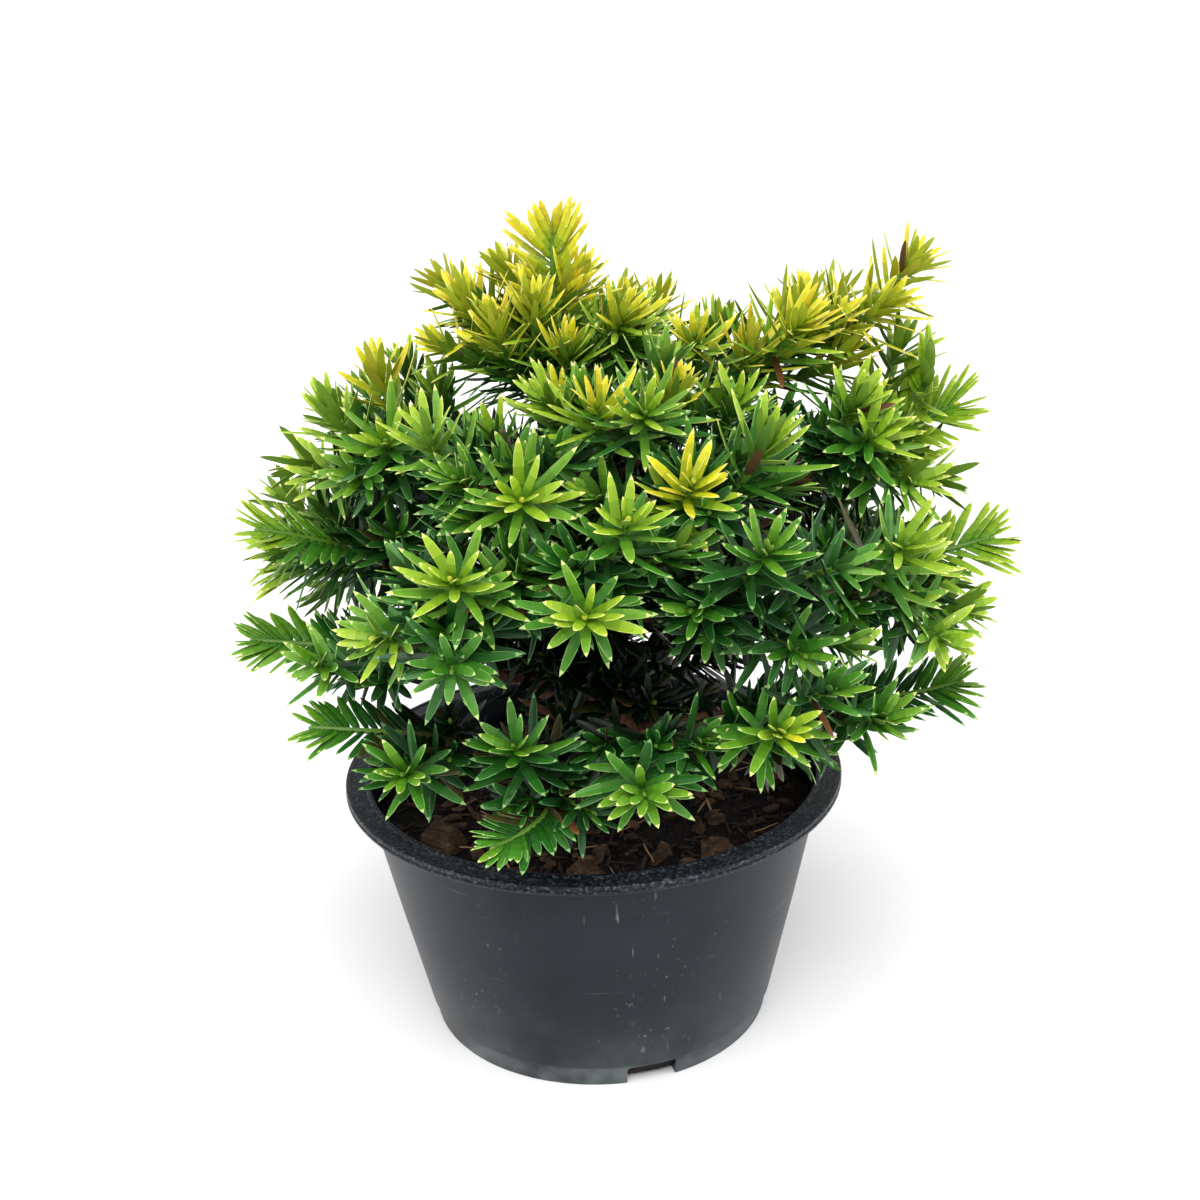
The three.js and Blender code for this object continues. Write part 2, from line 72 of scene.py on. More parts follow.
# From the middle of the underside, over the lip and down inside: a radius and a height,
# and the steps out and up from there to the corners of the pan's section.
PAN_PARTS = [
    (FOOT_RADIUS, 0.0, [(-5, 0), (-0.7, 0), (-0.2, 0.25), (0, 0.8)]),
    (FOOT_RADIUS, BAND_HEIGHT, [(0.95, -0.5), (1.1, -0.15)]),
    (WALL_FOOT_RADIUS, BAND_HEIGHT, [(-0.25, 0.1), (0, 0.6)]),
    (WALL_FOOT_RADIUS, FLANGE / 2, [(8.7, 4)]),
    (WALL_TOP_RADIUS, FLANGE, [(-0.5, -2.2), (0, -0.4), (0.5, 0.1), (1.2, 0.5)]),
    (RIM_RADIUS, LIP, [(-1.9, -0.1), (-1, -0.3), (-0.3, -0.1), (0, 0.3), (0, 1)]),
    (RIM_RADIUS, LIP, [(-0.35, 1.25), (-0.35, 1.55), (-0.05, 1.8), (-0.05, 2.45)]),
    (RIM_RADIUS, PAN_HEIGHT, [(-0.3, -0.15), (-0.8, 0), (-1.7, -0.05), (-2.1, -0.35)]),
    (INNER_RIM, PAN_HEIGHT, [(1.9, -0.4), (1.5, -0.1), (0.7, 0), (0.2, -0.2), (0, -0.7)]),
    (INNER_RIM, FLANGE, [(0, 0)]),
    (WALL_FOOT_RADIUS - PAN_WALL, BAND_HEIGHT, [(0, 0)]),
    (FOOT_RADIUS - PAN_WALL, PAN_WALL, [(0, 0)]),
]
SLOT_HEADINGS = [-74, 46, 166]
SLOT_RING = 60
SLOT_WIDTH = 17
SLOT_HEIGHT = 6.5
SLOT_DEPTH = 10
SLOT_CORNER = 1.1
# Where dust lies low on the wall and over the foot band's ledge, and where the lip is
# rubbed: heights in metres, from full dust to none and from no wear to full.
WALL_DUST = (0.004, 0.034)
LEDGE_DUST = (0.007, 0.0084)
LIP_WEAR = (0.0866, 0.0884)


def linear(red, green, blue):
    """A colour as a screen shows it, 0 to 255, as the values that a shader takes."""
    return tuple((part / 255) ** 2.2 for part in (red, green, blue)) + (1.0,)


class Wire:
    """A socket of a finish's nodes. Sums written with it add Math nodes."""

    def __init__(self, tree, socket=None):
        self.tree = tree
        self.socket = socket

    def node(self, kind, settings=None, sockets=None, output=0):
        """Adds a node: its settings are set first, then its sockets' values or wires."""
        made = self.tree.nodes.new(kind)
        for name, value in (settings or {}).items():
            setattr(made, name, value)
        for name, value in (sockets or {}).items():
            if isinstance(value, Wire):
                self.tree.links.new(value.socket, made.inputs[name])
            else:
                made.inputs[name].default_value = value
        return Wire(self.tree, made.outputs[output])

    def maths(self, operation, first, second):
        return self.node("ShaderNodeMath", {"operation": operation}, {0: first, 1: second})

    def __add__(self, other):
        return self.maths("ADD", self, other)

    def __sub__(self, other):
        return self.maths("SUBTRACT", self, other)

    def __mul__(self, other):
        return self.maths("MULTIPLY", self, other)

    def __rsub__(self, other):
        return self.maths("SUBTRACT", other, self)

    __radd__ = __add__
    __rmul__ = __mul__

    def between(self, low, high):
        """0 below low, 1 above high, and an even slope between."""
        return self.node(
            "ShaderNodeMapRange",
            {"clamp": True},
            {"Value": self, "From Min": low, "From Max": high},
        )

    def noise(self, scale, detail=4.0, roughness=0.55):
        """A cloudy pattern over these coordinates, from 0 to 1."""
        sockets = {"Vector": self, "Scale": scale, "Detail": detail, "Roughness": roughness}
        return self.node("ShaderNodeTexNoise", None, sockets)

    def stretched(self, x, y, z):
        """These coordinates, squeezed by a factor along each axis."""
        return self.node("ShaderNodeMapping", None, {"Vector": self, "Scale": (x, y, z)})

    def mixed(self, first, second):
        """The first colour where this mask is 0, and the second where it is 1."""
        sockets = {"Factor": self, 6: first, 7: second}
        return self.node("ShaderNodeMix", {"data_type": "RGBA"}, sockets, 2)


def new_finish(name, **constants):
    """A material with these constants on its shader, the shader, and Object coordinates."""
    made = bpy.data.materials.new(name)
    made.use_nodes = True
    shader = made.node_tree.nodes["Principled BSDF"]
    for socket, value in constants.items():
        shader.inputs[socket.replace("_", " ")].default_value = value
    place = Wire(made.node_tree).node("ShaderNodeTexCoord", None, None, "Object")
    return made, shader, place


def feed(shader, socket, wire):
    """Leads a pattern to one of the shader's sockets."""
    wire.tree.links.new(wire.socket, shader.inputs[socket])


def raised(height, strength, depth):
    """A Bump node's normal, for a height from 0 to 1 that stands so many metres proud."""
    sockets = {"Strength": strength, "Distance": depth, "Height": height}
    return height.node("ShaderNodeBump", None, sockets)


def extruded(name, rings, sides):
    """A disc extruded ring by ring, closed at its ends. A ring has a radius and a middle."""
    bpy.ops.object.select_all(action="DESELECT")
    radius, middle = rings[0]
    bpy.ops.mesh.primitive_circle_add(
        vertices=sides, radius=radius * MM, fill_type="NGON", location=[x * MM for x in middle]
    )
    piece = bpy.context.object
    piece.name = piece.data.name = name
    bpy.ops.object.mode_set(mode="EDIT")
    bpy.ops.mesh.select_all(action="SELECT")
    for next_radius, next_middle in rings[1:]:
        step = {"value": [(there - here) * MM for here, there in zip(middle, next_middle)]}
        bpy.ops.mesh.extrude_region_move(TRANSFORM_OT_translate=step)
        share = next_radius / radius
        centre = [x * MM for x in next_middle]
        bpy.ops.transform.resize(value=(share, share, 1), center_override=centre)
        radius, middle = next_radius, next_middle
    bpy.ops.mesh.select_all(action="SELECT")
    bpy.ops.mesh.normals_make_consistent(inside=False)
    bpy.ops.object.mode_set(mode="OBJECT")
    bpy.ops.object.transform_apply(location=True)
    return piece


def choose(piece):
    """Makes a piece the only one that the next operators work on."""
    bpy.ops.object.select_all(action="DESELECT")
    piece.select_set(True)
    bpy.context.view_layer.objects.active = piece


def apply_modifier(piece, kind, **settings):
    """Adds a modifier to a piece and applies it."""
    choose(piece)
    made = piece.modifiers.new(kind.title(), kind)
    for name, value in settings.items():
        setattr(made, name, value)
    bpy.ops.object.modifier_apply(modifier=made.name)


def smooth(piece, degrees):
    """Smooth shading, but for edges sharper than an angle."""
    choose(piece)
    bpy.ops.object.shade_smooth_by_angle(angle=math.radians(degrees))


pan_rings = []
for radius, height, steps in PAN_PARTS:
    pan_rings += [(radius + out, (0, 0, height + up)) for out, up in steps]
pan = extruded("pan", pan_rings, PAN_SIDES)
for heading in SLOT_HEADINGS:
    bpy.ops.object.select_all(action="DESELECT")
    angle = math.radians(heading)
    bpy.ops.mesh.primitive_cube_add(
        size=1,
        location=(SLOT_RING * MM * math.cos(angle), SLOT_RING * MM * math.sin(angle), 0),
        rotation=(0, 0, angle),
        scale=(2 * SLOT_DEPTH * MM, SLOT_WIDTH * MM, 2 * SLOT_HEIGHT * MM),
    )
    slot_cutter = bpy.context.object
    bpy.ops.object.transform_apply(location=False, rotation=False, scale=True)
    bpy.ops.object.mode_set(mode="EDIT")
    bpy.ops.mesh.select_all(action="SELECT")
    bpy.ops.mesh.bevel(offset=SLOT_CORNER * MM, segments=3)
    bpy.ops.object.mode_set(mode="OBJECT")
    apply_modifier(pan, "BOOLEAN", object=slot_cutter, operation="DIFFERENCE", solver="EXACT")
    bpy.data.objects.remove(slot_cutter)
smooth(pan, 32)

pan_finish, shader, place = new_finish("black_pan_plastic", Specular_IOR_Level=0.2)
height = place.node("ShaderNodeSeparateXYZ", None, {0: place}, "Z")
mottle = place.noise(26, 5)
flow = place.stretched(34, 34, 3).noise(1, 3)
specks = place.noise(520, 2).between(0.66, 0.74) * place.noise(38, 3).between(0.5, 0.72)
scuffed_parts = place.noise(30, 2).between(0.52, 0.66)
scuffs = place.stretched(20, 20, 900).noise(1, 2).between(0.69, 0.75) * scuffed_parts
scratched_parts = place.noise(22, 2).between(0.55, 0.68)
scratches = place.stretched(700, 60, 120).noise(1, 1).between(0.7, 0.74) * scratched_parts
low_dust = (1 - height.between(*WALL_DUST)) * 0.35 + (1 - height.between(*LEDGE_DUST)) * 0.65
dust = low_dust * place.noise(60, 5).between(0.36, 0.66)
lip_wear = height.between(*LIP_WEAR) * place.noise(900, 4).between(0.5, 0.75)
blotches = (mottle * 0.7 + flow * 0.3).between(0.3, 0.72)
clean = blotches.mixed(linear(14, 20, 26), linear(32, 39, 46))
dusty = (dust * 0.62).mixed(clean, linear(112, 118, 118))
speckled = (specks * 0.55).mixed(dusty, linear(150, 148, 142))
scuffed = ((scuffs + scratches) * 0.34).mixed(speckled, linear(150, 153, 155))
worn = (lip_wear * 0.55).mixed(scuffed, linear(122, 126, 128))
feed(shader, "Base Color", worn)
feed(shader, "Roughness", 0.33 + mottle * 0.12 + dust * 0.2 + specks * 0.2)
grain = place.noise(900, 3) * 0.5 + place.noise(150, 3) * 0.5 + (scuffs + scratches) * -0.3
feed(shader, "Normal", raised(grain, 0.35, 0.00012))
pan.data.materials.clear()
pan.data.materials.append(pan_finish)
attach(pan, "root")
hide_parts("pot")


# ---- The potting mix ----
# Moist bark-based mix, filled to a finger's width under the rim. It is nearly black,
# and its top is a rough bed of crumbs, shreds of bark and a few pale wood splinters.

MIX_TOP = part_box("potting_mix")[1].z / MM
MIX_SURFACE = MIX_TOP - 0.6
MIX_RADIUS = 74.4
MIX_SIDES = 96
MIX_RINGS = 26
MIX_RING_STEP = 2.7
MIX_PROFILE = [
    (20, PAN_WALL + 0.4),
    (FOOT_RADIUS - 2.4, PAN_WALL + 0.4),
    (WALL_FOOT_RADIUS - 2.4, BAND_HEIGHT),
    (MIX_RADIUS, MIX_TOP - 1.2),
    (MIX_RADIUS - 0.3, MIX_TOP - 0.4),
]
CRUMBS = 5200
CRUMB_SIZES = (0.5, 1.7)
# Shreds of bark, then splinters of wood: how many, their lengths, widths and thicknesses,
# how far they keep from the wall, how far they tip and how high they lie.
SHRED_KINDS = [
    (420, (3, 9), (0.6, 1.6), (0.4, 0.8), 5, 0.3, 0.7),
    (46, (5, 13), (0.5, 1.1), (0.3, 0.6), 7, 0.25, 1.2),
]


def lerp(low, high, share):
    return low + (high - low) * share


class Heap:
    """Small things of one kind, gathered corner by corner and joined into one mesh."""

    def __init__(self):
        self.corners = []
        self.faces = []
        self.finishes = []
        self.count = 0

    def add(self, corners, faces, finishes):
        self.corners.append(corners)
        self.faces.extend([tuple(corner + self.count for corner in face) for face in faces])
        self.finishes.extend(finishes)
        self.count += len(corners)

    def piece(self, name, finishes, sharp=180):
        """The joined mesh in metres, with edges sharper than an angle left sharp."""
        mesh = bpy.data.meshes.new(name)
        mesh.from_pydata((np.concatenate(self.corners) * MM).tolist(), [], self.faces)
        for finish in finishes:
            mesh.materials.append(finish)
        mesh.polygons.foreach_set("material_index", np.array(self.finishes, np.int32))
        mesh.polygons.foreach_set("use_smooth", np.ones(len(self.faces), bool))
        if sharp < 180:
            mesh.set_sharp_from_angle(angle=math.radians(sharp))
        mesh.update()
        made = bpy.data.objects.new(name, mesh)
        bpy.context.scene.collection.objects.link(made)
        return made


def select_faces(piece, is_wanted):
    """In edit mode, selects the faces that a test picks out, and no others."""
    bpy.ops.mesh.select_all(action="DESELECT")
    shell = bmesh.from_edit_mesh(piece.data)
    for face in shell.faces:
        face.select = is_wanted(face)
    bmesh.update_edit_mesh(piece.data)


def clouds(name, scale, depth=2):
    """A cloudy relief for the Displace modifier."""
    made = bpy.data.textures.new(name, "CLOUDS")
    made.noise_scale = scale * MM
    made.noise_depth = depth
    return made


mix_rings = [(radius, (0, 0, height)) for radius, height in MIX_PROFILE]
mix = extruded("potting_mix_bed", mix_rings, MIX_SIDES)
bpy.ops.object.mode_set(mode="EDIT")
select_faces(mix, lambda face: face.normal.z > 0.9 and len(face.verts) == MIX_SIDES)
for ring in range(MIX_RINGS):
    bpy.ops.mesh.inset(thickness=MIX_RING_STEP * MM, depth=0)
bpy.ops.mesh.poke()
select_faces(mix, lambda face: face.calc_center_median().z > MIX_SURFACE * MM)
bpy.ops.mesh.subdivide(number_cuts=1)
bpy.ops.object.mode_set(mode="OBJECT")
mix_group = mix.vertex_groups.new(name="top")
tops = [corner.index for corner in mix.data.vertices if corner.co.z > MIX_SURFACE * MM]
mix_group.add(tops, 1, "REPLACE")
for name, scale, depth in [("mix_heaps", 9, 2.6), ("mix_lumps", 2.6, 1.6)]:
    apply_modifier(
        mix,
        "DISPLACE",
        texture=clouds(name, scale),
        vertex_group="top",
        direction="Z",
        strength=depth * MM,
        mid_level=0.45,
    )
smooth(mix, 50)


def blob(seed):
    """A rough crumb of 20 faces, one across."""
    rng = np.random.default_rng(seed)
    golden = (1 + 5**0.5) / 2
    corners = []
    for a in (-1, 1):
        for b in (-golden, golden):
            corners += [(0, a, b), (a, b, 0), (b, 0, a)]
    corners = np.array(corners)
    corners /= 2 * np.linalg.norm(corners[0])
    edge = 1 / np.linalg.norm((0, 1, golden))
    near = lambda i, j: np.linalg.norm(corners[i] - corners[j]) < edge * 1.01
    faces = []
    for i in range(12):
        for j in range(i + 1, 12):
            for k in range(j + 1, 12):
                if near(i, j) and near(j, k) and near(i, k):
                    normal = np.cross(corners[j] - corners[i], corners[k] - corners[i])
                    faces.append((i, j, k) if normal @ corners[i] > 0 else (i, k, j))
    return corners * rng.uniform(0.72, 1.25, (12, 1)), faces


def splinter(rng, length, width, thickness):
    """A shred of wood or bark: a four-sided sliver, uneven and narrower to its ends."""
    corners = []
    for s in np.linspace(-0.5, 0.5, 5):
        half = width * (0.5 - 0.9 * s * s) * rng.uniform(0.75, 1.2)
        lift = rng.uniform(-0.3, 0.3) * thickness
        for turn in np.arange(4) * math.pi / 2 + 0.4:
            corners.append((s * length, half * math.cos(turn), lift + thickness / 2 * math.sin(turn)))
    faces = []
    for i in range(4):
        for k in range(4):
            a, b = 4 * i + k, 4 * i + (k + 1) % 4
            faces.append((a, a + 4, b + 4, b))
    faces += [(0, 1, 2, 3), (19, 18, 17, 16)]
    return np.array(corners), faces


def turned_about(rng, tilt):
    """A turn to any heading, tipped up to an angle in radians."""
    turn = Matrix.Rotation(rng.uniform(0, 2 * math.pi), 3, "Z")
    tip_back = Matrix.Rotation(rng.uniform(-tilt, tilt), 3, "X")
    tip_over = Matrix.Rotation(rng.uniform(-tilt, tilt), 3, "Y")
    return np.array(turn @ (tip_back @ tip_over))


def on_mix(x, y):
    """The height of the mix's bed at a place, in millimetres."""
    hit, location, normal, face = mix.ray_cast((x * MM, y * MM, 0.2), (0, 0, -1))
    return location.z / MM if hit else MIX_TOP


def strewn(rng, corners, clear, tilt, lift):
    """A thing laid anywhere on the bed but this far from the wall, tipped and lifted."""
    reach = (MIX_RADIUS - clear) * math.sqrt(rng.uniform(0, 1))
    turn = rng.uniform(0, 2 * math.pi)
    x, y = reach * math.cos(turn), reach * math.sin(turn)
    return corners @ turned_about(rng, tilt).T + (x, y, on_mix(x, y) + lift)


rng = np.random.default_rng(11)
crumbs = Heap()
crumb_forms = [blob(seed) for seed in range(6)]
for number in range(CRUMBS):
    form, faces = crumb_forms[number % 6]
    size = lerp(*CRUMB_SIZES, rng.uniform(0, 1) ** 2.2)
    scale = size * rng.uniform(0.7, 1.3, 3)
    corners = strewn(rng, form * scale, clear=2, tilt=1.2, lift=0.2 * size)
    crumbs.add(corners, faces, [int(rng.integers(0, 4) == 0)] * len(faces))
shreds = Heap()
for finish, (count, lengths, widths, depths, *lie) in enumerate(SHRED_KINDS):
    for number in range(count):
        sizes = [rng.uniform(*limits) for limits in (lengths, widths, depths)]
        corners, faces = splinter(rng, *sizes)
        corners = strewn(rng, corners, *lie)
        shreds.add(corners, faces, [finish] * len(faces))

mix_finish, shader, place = new_finish("damp_mix", Roughness=0.8, Specular_IOR_Level=0.3)
patches = place.noise(140, 6).between(0.35, 0.7)
feed(shader, "Base Color", patches.mixed(linear(14, 10, 9), linear(40, 28, 22)))
feed(shader, "Normal", raised(place.noise(700, 5), 0.8, 0.0006))
crumb_dark = new_finish("crumb_dark", Base_Color=linear(18, 13, 11), Roughness=0.85)[0]
crumb_brown = new_finish("crumb_brown", Base_Color=linear(44, 33, 27), Roughness=0.85)[0]
shred_brown = new_finish("shred_brown", Base_Color=linear(58, 43, 33), Roughness=0.85)[0]
splinter_pale = new_finish("splinter_pale", Base_Color=linear(176, 140, 100), Roughness=0.7)[0]
mix.data.materials.clear()
mix.data.materials.append(mix_finish)
mix_crumbs = crumbs.piece("mix_crumbs", [crumb_dark, crumb_brown])
mix_shreds = shreds.piece("mix_shreds", [shred_brown, splinter_pale], 40)
for piece in (mix, mix_crumbs, mix_shreds):
    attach(piece, "root")
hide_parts("potting_mix")


# ---- The bark on the mix ----
# Seven chunky nuggets of conifer bark lie round the edge, each a stack of thin layers
# broken off with ragged edges, and smaller bits of the same bark lie between them.

CHIPS = 7
CHIP_LENGTH = 19
CHIP_WIDTH = 11
CHIP_HEIGHT = 6.5
CHIP_SIZES = (0.75, 1.2)
CHIP_RING = 60
CHIP_RING_SPREAD = 9
CHIP_FIRST_HEADING = -152
CHIP_HEADING_SPREAD = 12
# The width of the chips' facets and of their ragged layers, and how deep each is.
CHIP_FACETS = (6, 3.4)
CHIP_LAYERS = (1.3, 1.1)
BARK_BITS = 190
BIT_LENGTHS = (2.6, 9.5)


def stream(seed):
    """A repeatable stream of numbers from 0 to 1."""
    state = (seed * 2654435761) & 0xFFFFFFFF
    while True:
        state = (state * 1664525 + 1013904223) & 0xFFFFFFFF
        yield state / 2**32


def within(numbers, low, high):
    return low + (high - low) * next(numbers)


bark_finish, shader, place = new_finish("bark_nuggets", Roughness=0.85, Specular_IOR_Level=0.25)
layers = place.stretched(60, 60, 900).noise(1, 5).between(0.35, 0.68)
worn_bark = place.noise(160, 5).between(0.4, 0.66)
flecks = place.noise(420, 3).between(0.62, 0.72)
brown = layers.mixed(linear(50, 38, 31), linear(122, 95, 74))
dark = (worn_bark * 0.6).mixed(brown, linear(38, 30, 25))
feed(shader, "Base Color", (flecks * 0.5).mixed(dark, linear(160, 132, 106)))
feed(shader, "Normal", raised(layers * 0.6 + place.noise(380, 5) * 0.6, 0.9, 0.0009))

for index in range(CHIPS):
    numbers = stream(700 + index)
    length = CHIP_LENGTH * within(numbers, *CHIP_SIZES)
    width = CHIP_WIDTH * within(numbers, *CHIP_SIZES)
    turn = next(numbers) * math.pi
    heading = CHIP_FIRST_HEADING + index * 360 / CHIPS + CHIP_HEADING_SPREAD * next(numbers)
    heading = math.radians(heading)
    ring = CHIP_RING + CHIP_RING_SPREAD * (next(numbers) - 0.5)
    bpy.ops.object.select_all(action="DESELECT")
    bpy.ops.mesh.primitive_ico_sphere_add(
        subdivisions=5,
        radius=1,
        location=(ring * MM * math.cos(heading), ring * MM * math.sin(heading), MIX_TOP * MM),
        rotation=(0, 0, turn),
        scale=(length / 2 * MM, width / 2 * MM, CHIP_HEIGHT * 0.88 * MM),
    )
    chip = bpy.context.object
    chip.name = chip.data.name = f"bark_nugget_{index + 1}"
    bpy.ops.object.transform_apply(location=True, rotation=True, scale=True)
    facets = bpy.data.textures.new(f"facets_{index}", "VORONOI")
    facets.noise_scale = CHIP_FACETS[0] * MM
    ragged = clouds(f"ragged_{index}", CHIP_LAYERS[0], 3)
    apply_modifier(chip, "DISPLACE", texture=facets, strength=CHIP_FACETS[1] * MM, mid_level=0.5)
    apply_modifier(chip, "DISPLACE", texture=ragged, strength=CHIP_LAYERS[1] * MM)
    smooth(chip, 40)
    chip.data.materials.append(bark_finish)
    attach(chip, "root")
    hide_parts(f"bark_chip_{index + 1}")

rng = np.random.default_rng(23)
bits = Heap()
bit_forms = [blob(40 + seed) for seed in range(5)]
for number in range(BARK_BITS):
    form, faces = bit_forms[number % 5]
    size = rng.uniform(*BIT_LENGTHS)
    scale = (size, size * rng.uniform(0.45, 0.8), size * rng.uniform(0.25, 0.42))
    corners = strewn(rng, form * scale, clear=5, tilt=0.45, lift=0.9)
    bits.add(corners, faces, [0] * len(faces))
bark_bits = bits.piece("bark_bits", [bark_finish], 25)
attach(bark_bits, "root")


# ---- The trunk ----
# One short stem of reddish brown, thinly flaking bark. It flares at the foot, leans a
# little back and to the left, and tapers to where the topmost foliage takes over.

TRUNK_FOOT = (0, 0, MIX_TOP + 0.35)
TRUNK_BEND = (0, 0, 132)
TRUNK_TIP = (-4, 4, 194)
FOOT_FLARE = 9
FLARE_HEIGHT = 9
TRUNK_FOOT_RADIUS = 6.2
TRUNK_TIP_RADIUS = 2.5
TRUNK_BURIED = 3
TRUNK_SIDES = 36
TRUNK_RINGS = 64
# The width of the furrows and of the flakes in its bark, and how deep each is.
BARK_FURROWS = (3.2, 1.5)
BARK_FLAKES = (0.9, 0.55)
UP = np.array((0, 0, 1.0))


def unit(vector):
    return vector / np.linalg.norm(vector)


class Curve:
    """A Bezier curve through three or four control points, as every limb follows one."""

    def __init__(self, *controls):
        self.controls = np.array(controls, float)

    def point(self, t):
        rows = self.controls
        while len(rows) > 1:
            rows = rows[:-1] + (rows[1:] - rows[:-1]) * t
        return rows[0]

    def along(self, t):
        low, high = max(t - 1e-4, 0), min(t + 1e-4, 1)
        return unit(self.point(high) - self.point(low))

    def length(self):
        places = np.array([self.point(i / 200) for i in range(201)])
        return np.linalg.norm(np.diff(places, axis=0), axis=1).sum()


def trunk_radius(t):
    above = t * (TRUNK_TIP[2] - TRUNK_FOOT[2])
    flare = (FOOT_FLARE - TRUNK_FOOT_RADIUS) * math.exp(-above / FLARE_HEIGHT)
    return lerp(TRUNK_FOOT_RADIUS, TRUNK_TIP_RADIUS, t) + flare


trunk_curve = Curve(TRUNK_FOOT, TRUNK_BEND, TRUNK_TIP)
trunk_rings = [(trunk_radius(0), trunk_curve.point(0) - TRUNK_BURIED * UP)]
for ring in range(TRUNK_RINGS + 1):
    t = ring / TRUNK_RINGS
    trunk_rings.append((trunk_radius(t), trunk_curve.point(t)))
trunk = extruded("trunk_bark", trunk_rings, TRUNK_SIDES)


def flaking(limb):
    """Thin flakes and shallow furrows over a limb."""
    for name, (width, depth) in {"furrows": BARK_FURROWS, "flakes": BARK_FLAKES}.items():
        relief = clouds(name, width)
        apply_modifier(limb, "DISPLACE", texture=relief, strength=depth * MM, mid_level=0.5)
    smooth(limb, 60)


flaking(trunk)
limb_finish, shader, place = new_finish("yew_bark", Roughness=0.82, Specular_IOR_Level=0.3)
furrows = place.stretched(420, 420, 110).noise(1, 6).between(0.36, 0.66)
patches = place.noise(120, 4).between(0.4, 0.7)
brown = furrows.mixed(linear(46, 28, 20), linear(116, 74, 52))
feed(shader, "Base Color", (patches * 0.55).mixed(brown, linear(92, 74, 60)))
feed(shader, "Normal", raised(furrows, 0.9, 0.0007))
trunk.data.materials.append(limb_finish)
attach(trunk, "root")
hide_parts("trunk")


# ---- The boughs ----
# Twenty-four limbs leave the trunk one above the other, each aimed at the middle of
# its own mass of foliage, and end where that begins. They carry the trunk's bark.

# The heart of the crown, and the tips of each bough's leaders as heading, rise and reach
# from it, from the lowest bough to the highest.
HEART = (0, 0, 120)
CROWN = {
    "low_front_left": [[-103, 13, 100], [-106, -4, 104]],
    "lower_right": [[-9, 2, 123], [-34, 6, 109]],
    "low_left": [[-149, 6, 101], [-124, 5, 100]],
    "low_back_right": [[35, 3, 106], [64, -2, 98]],
    "low_right": [[-52, 17, 119], [-61, 13, 116], [-39, 0, 90]],
    "low_back_left": [[120, 0, 103], [158, 3, 106]],
    "back_left": [[145, 45, 128], [130, 28, 125], [150, 8, 112]],
    "low_front_right": [[-82, 6, 107], [-68, 11, 93]],
    "lower_left": [[-170, 14, 113], [-149, 18, 103]],
    "back_right": [[50, 48, 135], [40, 28, 130], [55, 10, 112]],
    "right": [[-7, 22, 141], [-34, 31, 133], [-14, 15, 130]],
    "back": [[95, 50, 130], [80, 30, 125], [100, 12, 112]],
    "left": [[-164, 33, 125], [167, 31, 123], [167, 19, 115]],
    "front_right": [[-63, 36, 139], [-37, 19, 106]],
    "front_left": [[-109, 35, 135], [-124, 27, 120]],
    "right_back": [[20, 38, 135], [15, 12, 122]],
    "front": [[-90, 31, 135], [-83, 42, 136]],
    "upper_left": [[-171, 61, 131], [-162, 53, 134], [177, 40, 122]],
    "front_upper_right": [[-71, 46, 136], [-55, 49, 140]],
    "upper_right": [[-8, 45, 155], [-5, 39, 152], [-3, 31, 136]],
    "front_upper_left": [[-126, 55, 130], [-101, 47, 127]],
    "upper_back": [[110, 68, 130], [60, 66, 132]],
    "upper_front": [[-85, 62, 128], [-57, 65, 125]],
    "top_right": [[-21, 65, 134], [-4, 61, 148], [5, 52, 175]],
}
TOP_LEADERS = [[150, 87, 153], [-149, 77, 133], [7, 83, 129], [-177, 75, 139]]
BOUGH_HEIGHTS = (91, 181)
BOUGH_RADII = (2.6, 1.7)
BOUGH_TIP_RADIUS = 1.4
BOUGH_SHARE = 0.44
BOUGH_SAG = 5
BOUGH_SIDES = 14
BOUGH_RINGS = 44
# How much thicker a bough is at its root, and how soon that fades along it.
COLLAR = 1.2
COLLAR_FADING = 9


def crown_point(heading, rise, reach):
    """A point by heading, rise and reach from the heart of the crown."""
    turn, lift = math.radians(heading), math.radians(rise)
    flat = reach * math.cos(lift)
    return np.array((flat * math.cos(turn), flat * math.sin(turn), reach * math.sin(lift))) + HEART


def sagging(start, end, sag):
    """A curve that hangs a little below the straight line between its ends."""
    return Curve(start, (start + end) / 2 - sag * UP, end)


def trunk_share_at(height):
    low, high = 0, 1
    while high - low > 1e-6:
        middle = (low + high) / 2
        if trunk_curve.point(middle)[2] < height:
            low = middle
        else:
            high = middle
    return low


def ring_faces(sides, rings, first=0):
    """The faces between rings of corners, where the first corner of all has this place."""
    faces = []
    for ring in range(rings - 1):
        for k in range(sides):
            a = first + sides * ring + k
            b = first + sides * ring + (k + 1) % sides
            faces.append((a, b, b + sides, a + sides))
    return faces


def tube(curve, radius_at, sides, rings):
    """Corners and faces of a closed tapering limb along a curve."""
    corners = []
    across = np.array((1.0, 0, 0))
    if abs(curve.along(0)[0]) > 0.9:
        across = np.array((0, 1.0, 0))
    for i in range(rings):
        t = i / (rings - 1)
        along = curve.along(t)
        across = unit(across - along * across.dot(along))
        other = np.cross(along, across)
        turns = 2 * math.pi * np.arange(sides) / sides
        round_ring = np.outer(np.cos(turns), across) + np.outer(np.sin(turns), other)
        corners.append(curve.point(t) + radius_at(t) * round_ring)
    last = (rings - 1) * sides
    ends = [tuple(range(sides - 1, -1, -1)), tuple(range(last, last + sides))]
    return np.concatenate(corners), ring_faces(sides, rings) + ends


